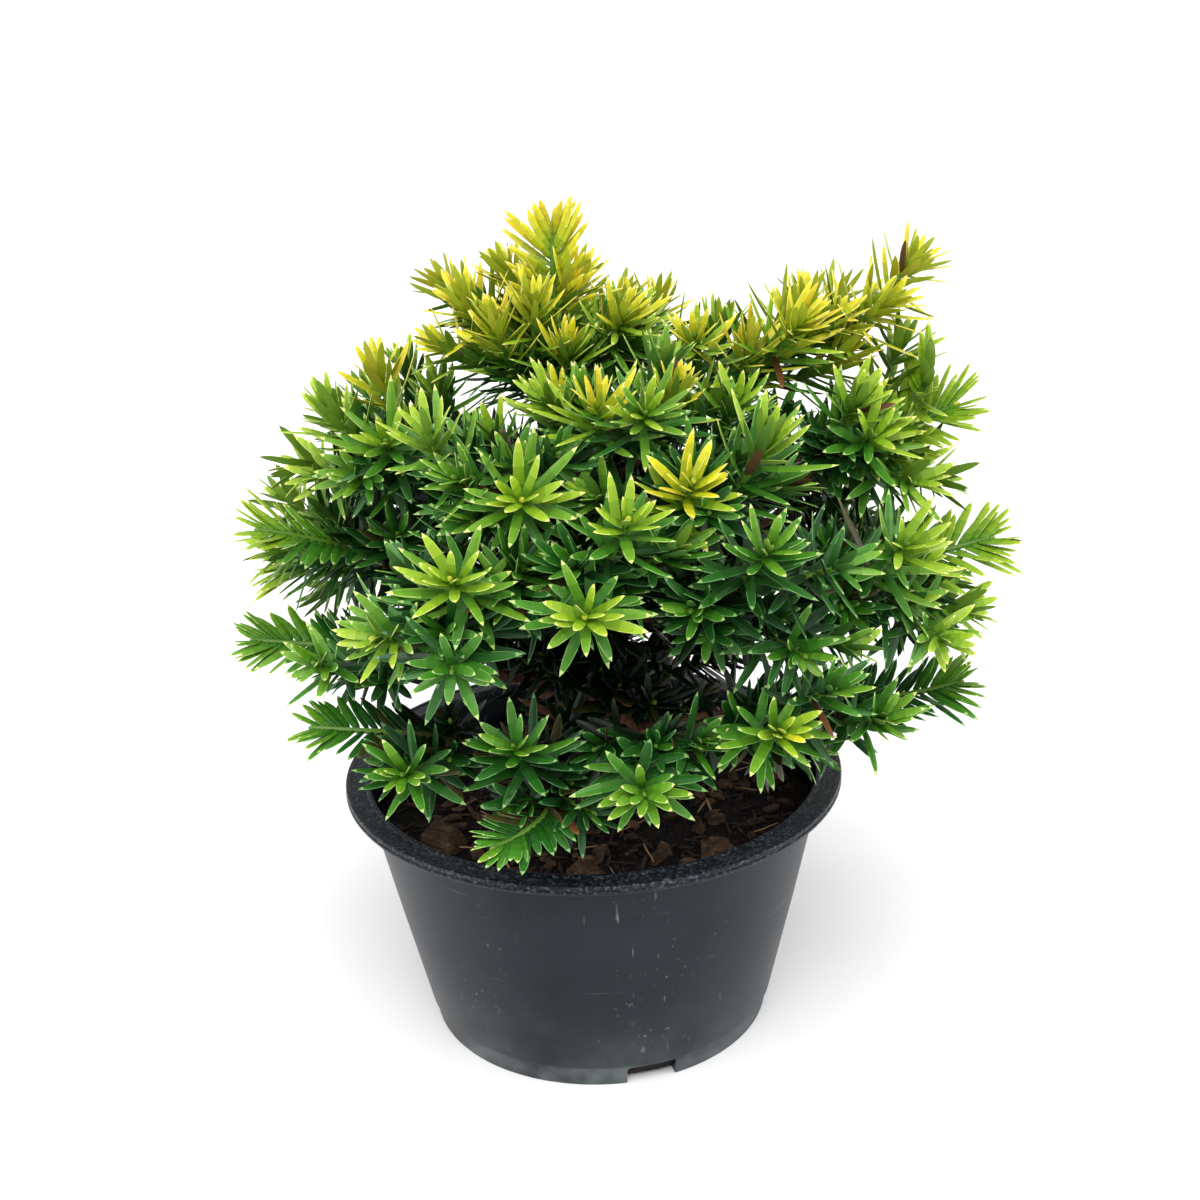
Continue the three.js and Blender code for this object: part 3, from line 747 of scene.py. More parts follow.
boughs = {}
bough_heap = Heap()
for order, (name, leaders) in enumerate(CROWN.items()):
    place_up = order / (len(CROWN) - 1)
    tips = [crown_point(*leader) for leader in leaders]
    root = trunk_curve.point(trunk_share_at(lerp(*BOUGH_HEIGHTS, place_up)))
    way = np.mean(tips, axis=0) - root
    level_share = math.hypot(way[0], way[1]) / np.linalg.norm(way)
    boughs[name] = sagging(root, root + BOUGH_SHARE * way, BOUGH_SAG * level_share)
    base = lerp(*BOUGH_RADII, place_up)
    collar = lambda t: COLLAR * math.exp(-t * COLLAR_FADING)
    thickness = lambda t: lerp(base, BOUGH_TIP_RADIUS, t) + collar(t)
    corners, faces = tube(boughs[name], thickness, BOUGH_SIDES, BOUGH_RINGS)
    bough_heap.add(corners, faces, [0] * len(faces))
bough_bark = bough_heap.piece("bough_bark", [limb_finish])
flaking(bough_bark)
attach(bough_bark, "root")
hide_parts(*[f"bough_{name}" for name in CROWN])


# ---- The shoots ----
# Each bough goes on as a stem that forks to its leaders. Every leader has side shoots,
# and shorter ones between them. Last year's wood is brown, and this year's is green and
# ends in a round bud. Short shady shoots also stand on the boughs inside the crown.

GAP = 0.35
STEM_SAG = 5
STEM_FIRST_FORK = 0.3
STEM_FORK_STEP = 0.13
# Leaders that end between these heights turn up, the more so the higher.
TURNING_UP = (214, 236)

# Leaders that are bent at the end to point by this heading and rise.
BENT_END = 26
TURNED = {
    ("low_left", 0): (176, 4),
    ("low_front_left", 1): (-152, -8),
    ("lower_left", 0): (-176, 8),
    ("left", 0): (-172, 14),
    ("left", 2): (176, 2),
    ("right", 0): (-6, 16),
    ("lower_right", 0): (-12, 20),
    ("upper_right", 0): (0, 88),
    ("upper_right", 1): (-4, 28),
    ("top_left", 0): (84, 80),
    ("top_right", 2): (-8, 52),
}

# By the mean height of a mass's tips: how long its side shoots are for their kind, and
# how much they turn up.
VIGOUR = [(150, 1.0), (0, 0.5)]
CLIMB = [(222, 0.7), (185, 0.4), (0, 0.1)]

# Side shoots: how far back from their leader's tip, how long and how far they roll out of
# the level, how widely they spread, and the room round them. Then the shares by which the
# first, the spread and the length vary, and their sag for their length.
SIDE_BACK = 48
SIDE_LENGTH = 34
SIDE_ROLL = 50
SIDE_SPREAD = 48
SIDE_ROOM = 1.9
SIDE_BACK_SHARES = (0.85, 1.15)
SIDE_SPREAD_SHARES = (0.8, 1.15)
SIDE_LENGTH_SHARES = (0.8, 1.1)
SIDE_SAG = 0.05

# Finer shoots on the leaders, then on the bough: how far back, how long and on which
# side, and how far they roll.
FINER = [(66, 26, 1), (72, 26, -1), (88, 26, 1)]
ON_BOUGH = [(4, 30, 1), (8, 28, -1), (24, 28, 1), (28, 26, -1)]
FINER_ROLL = 120
ON_BOUGH_ROLL = 160
# How far apart the tips of side shoots and of finer ones stay, and how far above and
# outside the pan's rim the finer ones do.
SIDE_TIPS_APART = 13
FINER_TIPS_APART = 11.5
RIM_ROOM = (22, 5)

# Gaps low in the crown, where nothing finer than a leader ends: their middles and reaches.
GAPS = [((-54, -12, 114), 36), ((50, 30, 126), 30)]

# Later shoots that fill the upper crown: the mass, the tip by heading, rise and reach, the
# heading and rise that it points to, and the steps of painted shade that darken its needles.
LATER = [
    ("top_left", [-135, 82, 136], (-90, 79), 1.4),
    ("top_left", [120, 79, 136], (110, 70), 0.8),
    ("top_left", [161, 80, 144], (170, 57), 0.6),
    ("top_left", [-38, 89, 139], (-11, 59), 0.6),
    ("top_left", [-96, 80, 124], (-69, 65), 1.2),
    ("upper_left", [166, 62, 124], (180, 81), 1.2),
    ("upper_left", [-172, 67, 115], (-108, 81), 1.4),
    ("upper_front", [-101, 74, 113], (-106, 69), 0.6),
    ("front_upper_left", [-122, 64, 112], (-121, 54), 1.0),
    ("top_right", [-4, 54, 142], (-18, 72), 0.8),
    ("upper_right", [-21, 49, 139], (-41, 56), 1.0),
    ("upper_right", [2, 48, 154], (0, 72), 0.6),
    ("front_upper_right", [-42, 60, 125], (-74, 69), 0.8),
]
# How far before its tip a later shoot looks for the nearest wood to grow from.
LATER_REACH = 34

# Shady shoots round the trunk, from low down to near its tip.
SHADY = {"count": 58, "lowest": 98, "highest": 186, "length": (30, 58), "rise": (6, 46)}
GOLDEN_TURN = 137.5

# How far back from its tip a shoot's wood is green, and then olive.
GREEN_WOOD = 26
OLIVE_WOOD = 44


def side_shoot(leader, side, back, length, numbers, roll, climb):
    """A shoot that leaves its leader to one side, some way back from the leader's tip."""
    share = max(1 - back * within(numbers, *SIDE_BACK_SHARES) / leader.length(), 0.25)
    root = leader.point(share)
    along = leader.along(share)
    sideways = unit(np.cross(along, UP)) * side
    lift = math.radians(roll * (next(numbers) - 0.5))
    sideways = sideways * math.cos(lift) + np.cross(along, sideways) * math.sin(lift)
    spread = math.radians(SIDE_SPREAD) * within(numbers, *SIDE_SPREAD_SHARES)
    way = unit(along * math.cos(spread) + sideways * math.sin(spread) + UP * climb)
    tip = root + way * length * within(numbers, *SIDE_LENGTH_SHARES)
    return sagging(root, tip, SIDE_SAG * length)


def segment_distances(start, end, starts, ends):
    """The shortest distances from one segment to each of many."""
    one, many, between = end - start, ends - starts, start - starts
    aa, ee, bb = one @ one, (many * many).sum(1), many @ one
    cc, ff = between @ one, (many * between).sum(1)
    span = aa * ee - bb * bb
    s = np.where(span > 1e-9, np.clip((bb * ff - cc * ee) / np.maximum(span, 1e-9), 0, 1), 0)
    t = np.clip((bb * s + ff) / ee, 0, 1)
    s = np.clip((bb * t - cc) / aa, 0, 1)
    nearest = start + s[:, None] * one
    return np.linalg.norm(nearest - (starts + t[:, None] * many), axis=1)


class Room:
    """Everything that grows, as thick line segments, so that what is finer gives way."""

    def __init__(self):
        self.owners, self.starts, self.ends, self.radii = [], [], [], []

    def note(self, owner, curve, radius_at, steps):
        for i in range(steps):
            self.owners.append(owner)
            self.starts.append(curve.point(i / steps))
            self.ends.append(curve.point((i + 1) / steps))
            self.radii.append(max(radius_at(i / steps), radius_at((i + 1) / steps)))

    def is_free(self, owner, start, end, radius):
        others = np.array(self.owners) != owner
        starts, ends = np.array(self.starts)[others], np.array(self.ends)[others]
        apart = segment_distances(start, end, starts, ends)
        return bool((apart > radius + np.array(self.radii)[others] + GAP).all())


def is_open(tip, tips, clear):
    """Whether a tip is clear of the others and out of the gaps."""
    in_gap = any(np.linalg.norm(tip - middle) < reach for middle, reach in GAPS)
    return not in_gap and all(np.linalg.norm(tip - other) > clear for other in tips)


def for_height(rows, height):
    """What a table from high to low says for a height."""
    return next(value for lowest, value in rows if height > lowest)


room = Room()
room.note("trunk", trunk_curve, trunk_radius, 6)
masses = {}
for order, name in enumerate(CROWN):
    base = lerp(*BOUGH_RADII, order / (len(CROWN) - 1))
    room.note(f"bough_{name}", boughs[name], lambda t: lerp(base, BOUGH_TIP_RADIUS, t), 3)
    masses[name] = {"limb": boughs[name], "leaders": CROWN[name], "seed": order + 1}
masses["top_left"] = {"limb": trunk_curve, "leaders": TOP_LEADERS, "seed": len(CROWN) + 1}

for name, mass in masses.items():
    tips = [crown_point(*leader) for leader in mass["leaders"]]
    mass["height"] = np.mean(tips, axis=0)[2]
    mass["vigour"] = for_height(VIGOUR, mass["height"])
    mass["climb"] = for_height(CLIMB, mass["height"])
    limb = mass["limb"]
    start = limb.point(1) + GAP * limb.along(1)
    third = np.linalg.norm(tips[0] - start) / 3
    leaving = start + third * limb.along(1)
    stem = Curve(start, leaving, lerp(start, tips[0], 2 / 3) - STEM_SAG * UP, tips[0])
    forks = []
    for i, tip in enumerate(tips[1:]):
        forks.append(sagging(stem.point(STEM_FIRST_FORK + i * STEM_FORK_STEP), tip, STEM_SAG))
    mass["curves"] = [stem, *forks]
    for number, curve in enumerate(mass["curves"]):
        tip, bend = curve.controls[-1], curve.controls[-2]
        if (name, number) in TURNED:
            curve.controls[-2] = tip - BENT_END * (crown_point(*TURNED[name, number], 1) - HEART)
            continue
        share = min(max((tip[2] - TURNING_UP[0]) / (TURNING_UP[1] - TURNING_UP[0]), 0), 1)
        way = unit(unit(tip - bend) + 2 * share * UP)
        curve.controls[-2] = tip - way * np.linalg.norm(tip - bend)
    room.note(name, stem, lambda t: lerp(1.5, 0.85, t), 8)
    for fork in forks:
        room.note(name, fork, lambda t: lerp(1.1, 0.85, t), 6)

# Every shoot: its curve, its radii at root and tip, the share of it that is bare, and
# how many steps darker than its mass's leaders its needles are, as painted shade.
tips = [curve.point(1) for mass in masses.values() for curve in mass["curves"]]
for name, mass in masses.items():
    numbers = stream(mass["seed"])
    stem, *forks = mass["curves"]
    shoots = [(stem, 1.5, 0.8, 0.34, 0)] + [(fork, 1.1, 0.8, 0.24, 0) for fork in forks]
    growth = (numbers, SIDE_ROLL, mass["climb"] / 2)
    for leader in mass["curves"]:
        for side in (1, -1):
            shoot = side_shoot(leader, side, SIDE_BACK, SIDE_LENGTH, *growth)
            root, full_tip = shoot.point(0), shoot.point(1)
            grown = Curve(*lerp(shoot.controls[0], shoot.controls, mass["vigour"]))
            tip = grown.point(1)
            is_clear = is_open(tip, tips, SIDE_TIPS_APART)
            if is_clear and room.is_free(name, root, full_tip, SIDE_ROOM):
                tips.append(tip)
                shoots.append((grown, 0.95, 0.75, 0.12, 1.5))
                room.note(name, grown, lambda t: 0.9, 2)
    mass["shoots"] = shoots

for name, mass in masses.items():
    numbers = stream(300 + mass["seed"])
    vigour, climb = mass["vigour"], mass["climb"]
    finer = []
    for leader in mass["curves"]:
        for back, length, side in FINER[: 3 if vigour == 1 else 2]:
            shoot = side_shoot(leader, side, back, length * vigour, numbers, FINER_ROLL, climb)
            finer.append((shoot, 0.8, 0.65, 0.1, 2.2))
    for back, length, side in ON_BOUGH:
        shoot = side_shoot(mass["limb"], side, back, length, numbers, ON_BOUGH_ROLL, climb)
        finer.append((shoot, 0.9, 0.7, 0.15, 3))
    for shoot, *growth in finer:
        tip = shoot.point(1)
        above, outside = RIM_ROOM
        if tip[2] < PAN_HEIGHT + above and math.hypot(tip[0], tip[1]) < RIM_RADIUS + outside:
            continue
        is_clear = is_open(tip, tips, FINER_TIPS_APART)
        if is_clear and room.is_free(name, shoot.point(0), tip, 0.6):
            mass["shoots"].append((shoot, *growth))
            room.note(name, shoot, lambda t: 0.8, 2)
            tips.append(tip)

for name, place, (heading, rise), shade in LATER:
    tip = crown_point(*place)
    facing = crown_point(heading, rise, 1) - HEART
    limbs = [masses[name]["limb"], *masses[name]["curves"]]
    wood = [limb.point(t / 20) for limb in limbs for t in range(6, 19)]
    root = min(wood, key=lambda point: np.linalg.norm(tip - LATER_REACH * facing - point))
    reach = np.linalg.norm(tip - root)
    shoot = Curve(root, tip - 0.55 * reach * facing, tip)
    masses[name]["shoots"].append((shoot, 1.0, 0.7, 0.15, shade))

numbers = stream(900)
for number in range(SHADY["count"]):
    height = lerp(SHADY["lowest"], SHADY["highest"], number / (SHADY["count"] - 1))
    heading = math.radians(number * GOLDEN_TURN + 20 * next(numbers))
    rise = math.radians(within(numbers, *SHADY["rise"]))
    level = np.array((math.cos(heading), math.sin(heading), 0))
    way = level * math.cos(rise) + UP * math.sin(rise)
    root = trunk_curve.point(trunk_share_at(height))
    tip = root + way * within(numbers, *SHADY["length"])
    if not is_open(tip, [], 0):
        continue
    nearest = min(masses, key=lambda name: np.linalg.norm(masses[name]["limb"].point(0.6) - tip))
    masses[nearest]["shoots"].append((sagging(root, tip, 2.5), 1.0, 0.7, 0.2, 3.6))


def plain(name, red, green, blue, roughness=0.45):
    return new_finish(name, Base_Color=linear(red, green, blue), Roughness=roughness)[0]


twig_finishes = [
    plain("twig_brown", 92, 58, 38, 0.8),
    plain("twig_olive", 74, 84, 34, 0.6),
    plain("twig_green", 84, 122, 34, 0.5),
    plain("bud_gold", 176, 182, 52, 0.5),
    plain("bud_green", 92, 128, 42, 0.5),
    plain("bud_scale", 96, 54, 34, 0.7),
]
BROWN, OLIVE, GREEN, BUD_GOLD, BUD_GREEN, SCALE = range(6)


def bud_form():
    """A round bud, one long: six sides, widest low down."""
    corners = [(0, 0, 0)]
    for height, radius in [(0.12, 0.28), (0.4, 0.42), (0.72, 0.3), (0.9, 0.14)]:
        for k in range(6):
            turn = math.radians(60 * k)
            corners.append((radius * math.cos(turn), radius * math.sin(turn), height))
    corners.append((0, 0, 1))
    foot = [(0, (k + 1) % 6 + 1, k + 1) for k in range(6)]
    tip = [(19 + k, 19 + (k + 1) % 6, 25) for k in range(6)]
    return np.array(corners), foot + ring_faces(6, 4, 1) + tip


def basis(along, over):
    """Three axes at right angles: across, over and along."""
    across = unit(np.cross(over, along))
    return np.stack([across, np.cross(along, across), along])


twigs = Heap()
buds = Heap()
bud_corners, bud_faces = bud_form()
for name, mass in masses.items():
    numbers = stream(500 + mass["seed"])
    for shoot, base, tip, bare, shade in mass["shoots"]:
        length = shoot.length()
        rings = max(4, int(length / 4))
        corners, faces = tube(shoot, lambda t: lerp(base, tip, t), 6, rings)
        tones = []
        for ring in range(rings - 1):
            from_tip = length * (1 - (ring + 0.5) / (rings - 1))
            old = OLIVE if from_tip < OLIVE_WOOD else BROWN
            tones += [GREEN if from_tip < GREEN_WOOD else old] * 6
        twigs.add(corners, faces, tones + [BROWN, GREEN])
        along = shoot.along(1)
        size = within(numbers, 1.9, 2.7)
        over = UP if abs(along[2]) < 0.9 else np.array((1.0, 0, 0))
        place_bud = (bud_corners * size) @ basis(along, over) + shoot.point(1) - 0.4 * along
        tone = BUD_GOLD if mass["height"] > 185 and shade < 1 else BUD_GREEN
        buds.add(place_bud, bud_faces, [SCALE] * 6 + [tone] * 24)
        for number in range(2 if shade < 2 else 1):
            lean = unit(along + 1.6 * (np.array([next(numbers) for axis in range(3)]) - 0.5))
            size = within(numbers, 2.4, 4.6)
            place_scale = (bud_corners * size * (0.7, 0.35, 1)) @ basis(lean, np.roll(lean, 1))
            place_scale = place_scale + shoot.point(0.04 + 0.1 * next(numbers))
            buds.add(place_scale, bud_faces, [SCALE] * len(bud_faces))
young_wood = twigs.piece("twigs", twig_finishes, 60)
shoot_buds = buds.piece("buds", twig_finishes)
for piece in (young_wood, shoot_buds):
    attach(piece, "root")


# ---- The needles ----
# Flat, soft-pointed needles with a rib above and pale margins stand on the shoots, by the
# golden angle or in two rows like a comb's, and close up round the bud. New growth in the
# light is golden, the crown's middle lime to green, and its foot and inside deep green; the
# inside is also darkened with painted shade, and needles out in the light are brightened
# with painted light.

# One needle: its rings' places along it, their widths and thicknesses for its own, and
# its section, from one margin over the rib to the other and back underneath.
NEEDLE_STATIONS = [0, 0.08, 0.28, 0.55, 0.78, 0.91]
NEEDLE_WIDTHS = [0.42, 0.76, 1.0, 0.97, 0.77, 0.44]
NEEDLE_DEPTHS = [1.0, 0.95, 0.9, 0.85, 0.75, 0.55]
NEEDLE_SECTION = [(-1, 0), (-0.86, 0.34), (0, 0.8), (0.86, 0.34), (1, 0), (0, -0.25)]
RINGS = len(NEEDLE_STATIONS)

# The needles' tones, from new growth in full light to old and shaded growth. A blade
# goes from its root's colour to its end's, and has a tip, margins and an underside.
TONES = {
    "gold": [(78, 120, 20), (220, 208, 44), (242, 232, 132), (230, 220, 100), (156, 172, 46)],
    "amber": [(88, 120, 20), (220, 192, 40), (238, 202, 92), (230, 206, 92), (164, 168, 48)],
    "gold_green": [(54, 100, 20), (152, 184, 44), (226, 226, 128), (188, 204, 94), (104, 138, 44)],
    "lime": [(40, 86, 20), (106, 154, 42), (206, 216, 130), (154, 186, 92), (80, 120, 44)],
    "fresh": [(29, 72, 18), (69, 126, 35), (172, 200, 118), (130, 172, 90), (60, 102, 40)],
    "green": [(20, 54, 17), (43, 96, 32), (128, 170, 100), (96, 146, 80), (44, 84, 40)],
    "deep": [(12, 37, 13), (27, 69, 27), (84, 130, 76), (64, 112, 62), (31, 64, 32)],
    "shade": [(6, 20, 7), (13, 34, 12), (32, 62, 26), (24, 48, 20), (18, 36, 16)],
    "brown": [(50, 31, 18), (100, 66, 38), (122, 92, 60), (108, 76, 46), (86, 58, 36)],
    "olive": [(36, 38, 18), (60, 60, 28), (92, 86, 50), (84, 80, 46), (56, 56, 32)],
}
BLADE_SHARES = {"root": 0.1, "lower": 0.4, "middle": 0.65, "upper": 0.85, "end": 1.0}
TONE_PARTS = [*BLADE_SHARES, "tip", "margin", "underside"]
LADDER = ["gold", "gold_green", "lime", "fresh", "green", "deep", "shade"]

# A mass's needles by the mean height of its tips: their name, how far down the ladder of
# tones those at the leaders' tips start, and the brightest step there.
TONE_BANDS = [
    (222, ("gold", 0.2, 0)),
    (185, ("lime", 0.45, 1)),
    (150, ("green", 1.05, 1)),
    (0, ("deep", 2.0, 2)),
]

# Each kind's longest needle, how far from the tip it stands out fully and has lost its
# first brightness, and its shares of the usual spacing and width.
NEEDLE_KINDS = {
    "gold": (21, 14, 12, 0.76, 0.8),
    "lime": (21, 11, 6, 1, 1),
    "green": (20.5, 11, 6, 1, 1),
    "deep": (19, 11, 6, 1, 1),
}
SHORTEST_NEEDLE = 9
LENGTH_SHARES = (0.74, 1.14)
NEEDLE_SPACING = (1.3, 1.55)
NEEDLE_WIDTH = (2.8, 3.4)
NEEDLE_THICKNESS = 0.7
DROOP = (-0.14, 0.05)
SWEEP = (-0.1, 0.1)
MOST_NEEDLES = 400

# How far back from its tip a shoot carries needles, high in the crown and low.
LEAFY = [(150, 52), (0, 40)]

# How widely needles stand out, in degrees: round the bud, and low on the shoot. Then how
# much this varies, the same two for a comb's needles, and the most.
OPENINGS = (14, 56)
OPENING_SPREAD = 24
COMB_FIRST_OPENING = 12
COMB_OPENING_SPREAD = 10
WIDEST_OPENING = 80

# Leaders with their needles in two rows: how widely these stand out, how long they are for
# their place, and how loose the rows are.
COMBS = {
    ("low_left", 0): (54, 0.8, 0.3),
    ("low_front_left", 1): (50, 0.66, 0.3),
    ("lower_left", 0): (50, 0.9, 0.3),
    ("left", 0): (50, 1, 0.3),
    ("left", 2): (50, 0.9, 0.3),
    ("right", 0): (50, 1, 0.3),
    ("lower_right", 0): (50, 0.9, 0.3),
    ("upper_right", 0): (80, 1.1, 0.4),
    ("upper_right", 1): (56, 1, 0.3),
    ("top_left", 0): (52, 0.98, 1.1),
}

# Leaders whose tips are brighter than their mass, and by how many steps.
SUNLIT = {
    ("low_right", 1): 1.5,
    ("low_front_right", 0): 0.5,
    ("front_upper_right", 0): 1.8,
    ("upper_left", 0): 1.1,
    ("upper_left", 1): 0.9,
}

# A needle's draw from 0 to 1 gives it another tone above these: amber for a golden one,
# olive for a dark one by its height, and brown for any.
AMBER_ABOVE = 0.84
OLIVE_ABOVE = [(135, 0.94), (0, 0.84)]
BROWN_ABOVE = 0.9955

needle_finishes = []
for tone, (root_colour, end_colour, tip_colour, margin_colour, under_colour) in TONES.items():
    root_colour, end_colour = np.array(root_colour), np.array(end_colour)
    blade = [lerp(root_colour, end_colour, share) for share in BLADE_SHARES.values()]
    for part, colour in zip(TONE_PARTS, [*blade, tip_colour, margin_colour, under_colour]):
        finish = plain(f"needle_{tone}_{part}", *colour, 0.6 if part == "underside" else 0.36)
        shader = finish.node_tree.nodes["Principled BSDF"]
        shader.inputs["Specular IOR Level"].default_value = 0.32
        needle_finishes.append(finish)


def needle_faces():
    """A needle's faces, and the place of each one's colour among its tone's."""
    margin, underside = TONE_PARTS.index("margin"), TONE_PARTS.index("underside")
    faces, parts = [tuple(range(5, -1, -1)), *ring_faces(6, RINGS)], [0]
    for ring in range(RINGS - 1):
        for k in range(6):
            is_margin = k in (0, 3) and ring > 2
            parts.append(underside if k > 3 else margin if is_margin else ring)
    last = 6 * (RINGS - 1)
    for k in range(6):
        faces.append((last + k, last + (k + 1) % 6, last + 6))
        parts.append(underside if k > 3 else TONE_PARTS.index("tip"))
    return faces, parts


NEEDLE_FACES, NEEDLE_PARTS = needle_faces()


def needle_corners(root, way, over, length, width, depth, droop, sweep):
    """One needle's corners: a flat blade that droops and sweeps a little along its length."""
    across = unit(np.cross(way, over))
    over = np.cross(across, way)
    bend = (over * droop + across * sweep) * length
    corners = []
    for s, wide, deep in zip(NEEDLE_STATIONS, NEEDLE_WIDTHS, NEEDLE_DEPTHS):
        spine = root + way * s * length + bend * s * s
        for x, z in NEEDLE_SECTION:
            corners.append(spine + across * (x * wide * width / 2) + over * (z * deep * depth))
    corners.append(root + way * length + bend)
    return np.array(corners)


def in_the_pan(point):
    """Whether a needle's point would be in the mix or the pan's wall."""
    out = math.hypot(point[0], point[1])
    if out < INNER_RIM:
        return point[2] < MIX_TOP + 1.5
    return point[2] < PAN_HEIGHT + 1 and out < RIM_RADIUS + 1


def exposure(place):
    """How many steps brighter a needle is for standing out into the light."""
    out, high = abs(place[0] - 8), place[2]
    far = math.hypot(out, high - HEART[2])
    lit = min(max(high - 105, 0) / 40, 1)
    return lit * max(out - 72, 0) / 20 + max(high - 205, 0) / 45 + max(far - 118, 0) / 16


def tone_of(step, brightest, draw, height):
    """A needle's tone: its step down the ladder, with a few of other tones among them."""
    tone = LADDER[min(max(round(step), brightest), len(LADDER) - 1)]
    if draw > BROWN_ABOVE:
        return "brown"
    if tone == "gold" and draw > AMBER_ABOVE:
        return "amber"
    if tone in ("deep", "shade") and draw > for_height(OLIVE_ABOVE, height):
        return "olive"
    return tone


needle_heaps = {(kind, side): Heap() for kind in NEEDLE_KINDS for side in ("left", "right")}
tone_places = {tone: len(TONE_PARTS) * place for place, tone in enumerate(TONES)}
for name, mass in masses.items():
    numbers = stream(100 + mass["seed"])
    kind, first_step, brightest = for_height(TONE_BANDS, mass["height"])
    longest, kind_young, fading, closeness, slimness = NEEDLE_KINDS[kind]
    leafy = for_height(LEAFY, mass["height"])
    mass["heap"] = kind, "left" if mass["curves"][0].point(1)[0] < 0 else "right"
    heap = needle_heaps[mass["heap"]]
    for number, (shoot, base, tip, bare, shade) in enumerate(mass["shoots"]):
        comb = COMBS.get((name, number))
        sunlit = SUNLIT.get((name, number), 0)
        length = shoot.length()
        spacing = within(numbers, *NEEDLE_SPACING) * closeness
        facing_light = lerp(1.2, 0.98, max(shoot.along(1)[2], 0) ** 1.5)
        spread = within(numbers, 0.85, 1.2) * facing_light
        size = within(numbers, 0.92, 1.1) * lerp(0.8, 1, min(length / 30, 1))
        turn_start = next(numbers) * 360
        own_step = within(numbers, -0.5, 0.5)
        young = lerp(8, 12, comb[2]) if comb else kind_young
        from_tip = 0.3
        for i in range(MOST_NEEDLES):
            from_tip += spacing * (0.4 if from_tip < 9 else 1)
            t = 1 - from_tip / length
            if t < bare or from_tip > leafy:
                break
            opened = min(from_tip / young, 1)
            along = shoot.along(t)
            flat = math.sqrt(max(1 - along[2] ** 2, 0))
            across = unit(np.cross(along, UP)) if flat > 0.05 else np.array((1.0, 0, 0))
            over = np.cross(across, along)
            turn = math.radians(turn_start + i * GOLDEN_TURN)
            turn += 0.4 * flat * math.sin(2 * turn)
            outward = over * math.cos(turn) + across * math.sin(turn)
            opening = lerp(*OPENINGS, opened**0.6) * spread
            opening += OPENING_SPREAD * (next(numbers) - 0.5)
            facing = unit(along + UP * 0.7 * flat)
            if comb:
                comb_opening, comb_length, looseness = comb
                row = unit(across * math.copysign(1, across[1] or 1) + 0.5 * flat * over)
                loose = within(numbers, -looseness / 3, looseness)
                outward = unit(row * (1 if i % 2 else -1) + over * loose)
                opening = lerp(COMB_FIRST_OPENING, comb_opening, opened**0.8)
                opening += COMB_OPENING_SPREAD * (next(numbers) - 0.5)
                facing = lerp(along, over, max(flat, 0.6 * looseness))
            angle = math.radians(min(opening, WIDEST_OPENING))
            way = along * math.cos(angle) + outward * math.sin(angle)
            needle_length = lerp(SHORTEST_NEEDLE, longest, opened**0.8) * size
            needle_length *= within(numbers, *LENGTH_SHARES)
            if comb:
                needle_length *= comb_length
            start = shoot.point(t) + outward * lerp(base, tip, t) * 0.7
            end = start + way * needle_length
            draw = next(numbers)
            roll = 0.6 * (next(numbers) - 0.5)
            droop = within(numbers, *DROOP) + 0.14 * max(along[2], 0)
            sweep = within(numbers, *SWEEP)
            width = within(numbers, *NEEDLE_WIDTH) * slimness
            width *= lerp(0.9, 1, min(from_tip / 6, 1))
            if in_the_pan(end) or in_the_pan((start + end) / 2):
                continue
            side = unit(np.cross(way, facing))
            face_up = unit(np.cross(side, way)) * math.cos(roll) + side * math.sin(roll)
            blade = (needle_length, width, NEEDLE_THICKNESS, droop, sweep)
            corners = needle_corners(start, way, face_up, *blade)
            # Painted shade darkens needles near the crown's heart; painted light brightens outer
            # ones.
            inside = max(88 - np.linalg.norm(end - HEART), 0) / 16 - exposure(end)
            step = first_step - sunlit + own_step + shade + min(from_tip / fading, 2.2)
            step += from_tip / 50
            step += inside
            step += 1.1 * (draw - 0.5)
            tone = tone_of(step, 0 if sunlit > 1 else brightest, draw, end[2])
            heap.add(corners, NEEDLE_FACES, [tone_places[tone] + part for part in NEEDLE_PARTS])

for (kind, side), heap in needle_heaps.items():
    piece = heap.piece(f"needles_{kind}_{side}", needle_finishes, 18)
    stood_for = [f"foliage_{name}" for name, mass in masses.items() if mass["heap"] == (kind, side)]
    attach(piece, "root")
    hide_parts(*stood_for)


# ---- The setting ----
# A plain pale floor under a broad soft light from above and in front. A square lamp on
# each side gives the pan's flanks their sheen, and the camera looks a little down.

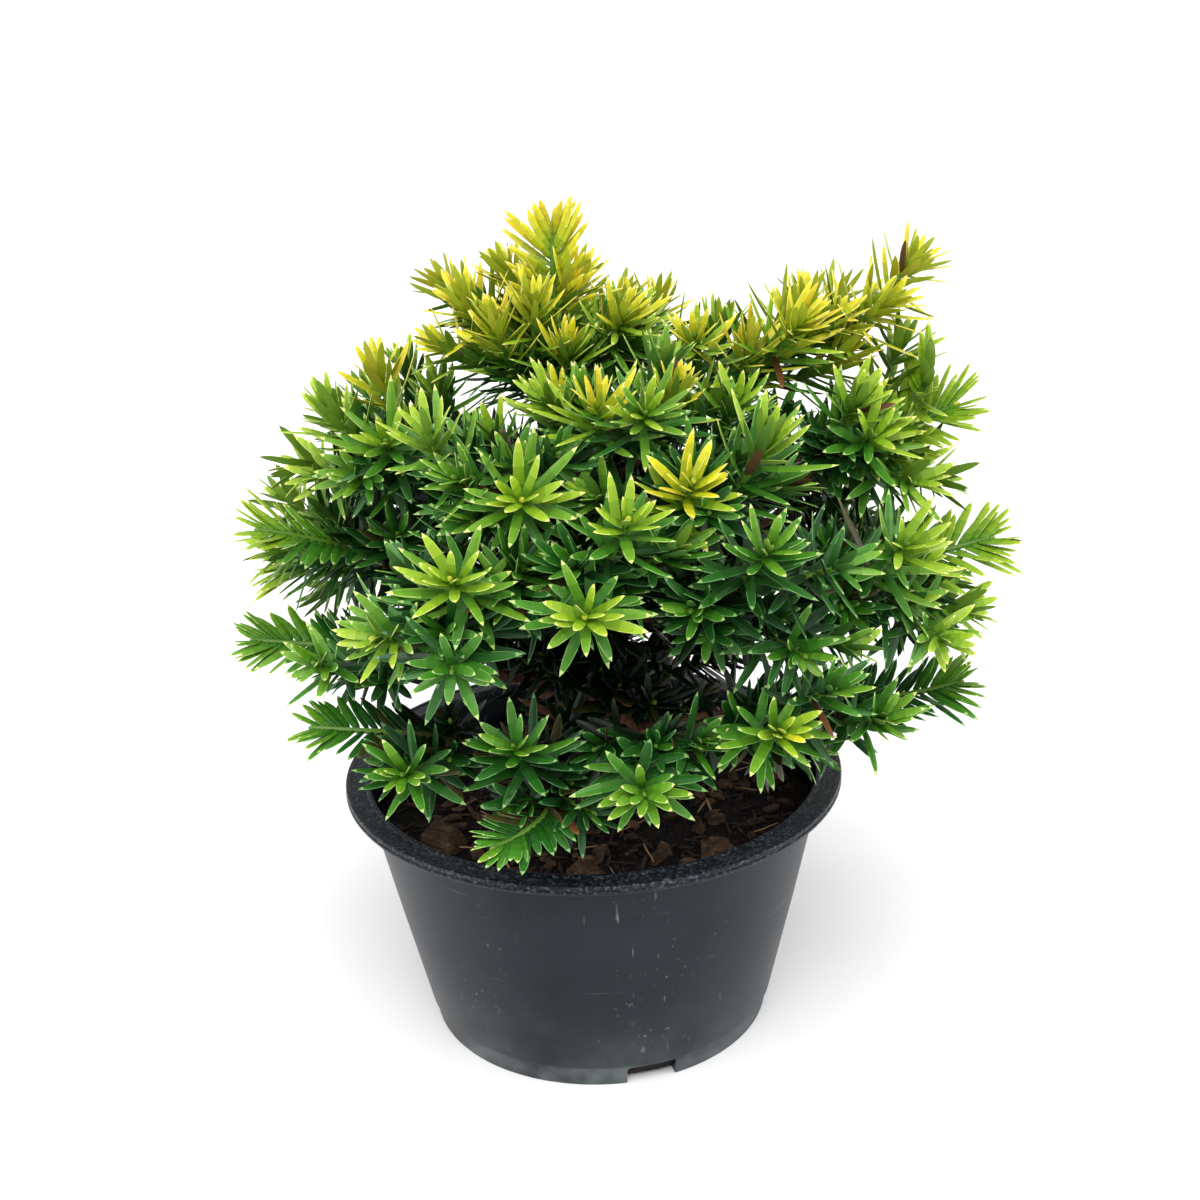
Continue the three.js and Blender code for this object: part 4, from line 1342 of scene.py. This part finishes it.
FLOOR_SIZE = 60000
bpy.ops.object.select_all(action="DESELECT")
bpy.ops.mesh.primitive_plane_add(size=FLOOR_SIZE * MM, location=(0, 0, 0))
floor = bpy.context.object
floor.name = "floor"
floor_finish, shader, place = new_finish("pale_floor", Roughness=0.9, Specular_IOR_Level=0.1)
feed(shader, "Base Color", place.noise(0.6, 2).mixed(linear(244, 244, 244), linear(248, 248, 248)))
floor.data.materials.append(floor_finish)


def soft_light(name, location, size, power):
    """A square lamp that faces the middle of the plant."""
    lamp = bpy.data.lights.new(name, "AREA")
    lamp.size = size
    lamp.energy = power
    made = bpy.data.objects.new(name, lamp)
    made.location = location
    way = Vector((0, 0, 0.14)) - Vector(location)
    made.rotation_euler = way.to_track_quat("-Z", "Y").to_euler()
    bpy.context.scene.collection.objects.link(made)


soft_light("light_left", (-1.2, -0.35, 0.55), 0.7, 5.5)
soft_light("light_right", (1.2, -0.25, 0.5), 0.7, 5)

# The broad light, as soft as a large box of cloth, shines down from in front.
sun = bpy.data.lights.new("light_above", "SUN")
sun.energy = 2.7
sun.angle = math.radians(50)
sun_lamp = bpy.data.objects.new("light_above", sun)
sun_lamp.rotation_euler = (math.radians(34), 0, 0)
bpy.context.scene.collection.objects.link(sun_lamp)

world = bpy.data.worlds.new("studio")
world.use_nodes = True
sky = world.node_tree.nodes["Background"]
sky.inputs["Color"].default_value = (1, 1, 1, 1)
sky.inputs["Strength"].default_value = 0.68
bpy.context.scene.world = world
bpy.context.scene.view_settings.view_transform = "Standard"

CAMERA_ROLL = math.radians(1.92)
CAMERA_TARGET = Vector((4.2, 0, 150.1)) * MM
CAMERA_PLACE = Vector((4.2, -560.5, 364.1)) * MM
lens = bpy.data.cameras.new("camera")
lens.lens = 54
lens.sensor_width = 36
camera = bpy.data.objects.new("camera", lens)
back = (CAMERA_PLACE - CAMERA_TARGET).normalized()
level_right = Vector((1, 0, 0))
level_up = back.cross(level_right)
right = level_right * math.cos(CAMERA_ROLL) - level_up * math.sin(CAMERA_ROLL)
up = level_right * math.sin(CAMERA_ROLL) + level_up * math.cos(CAMERA_ROLL)
axes = Matrix((right, up, back)).transposed().to_4x4()
camera.matrix_world = Matrix.Translation(CAMERA_PLACE) @ axes
bpy.context.scene.collection.objects.link(camera)
bpy.context.scene.camera = camera
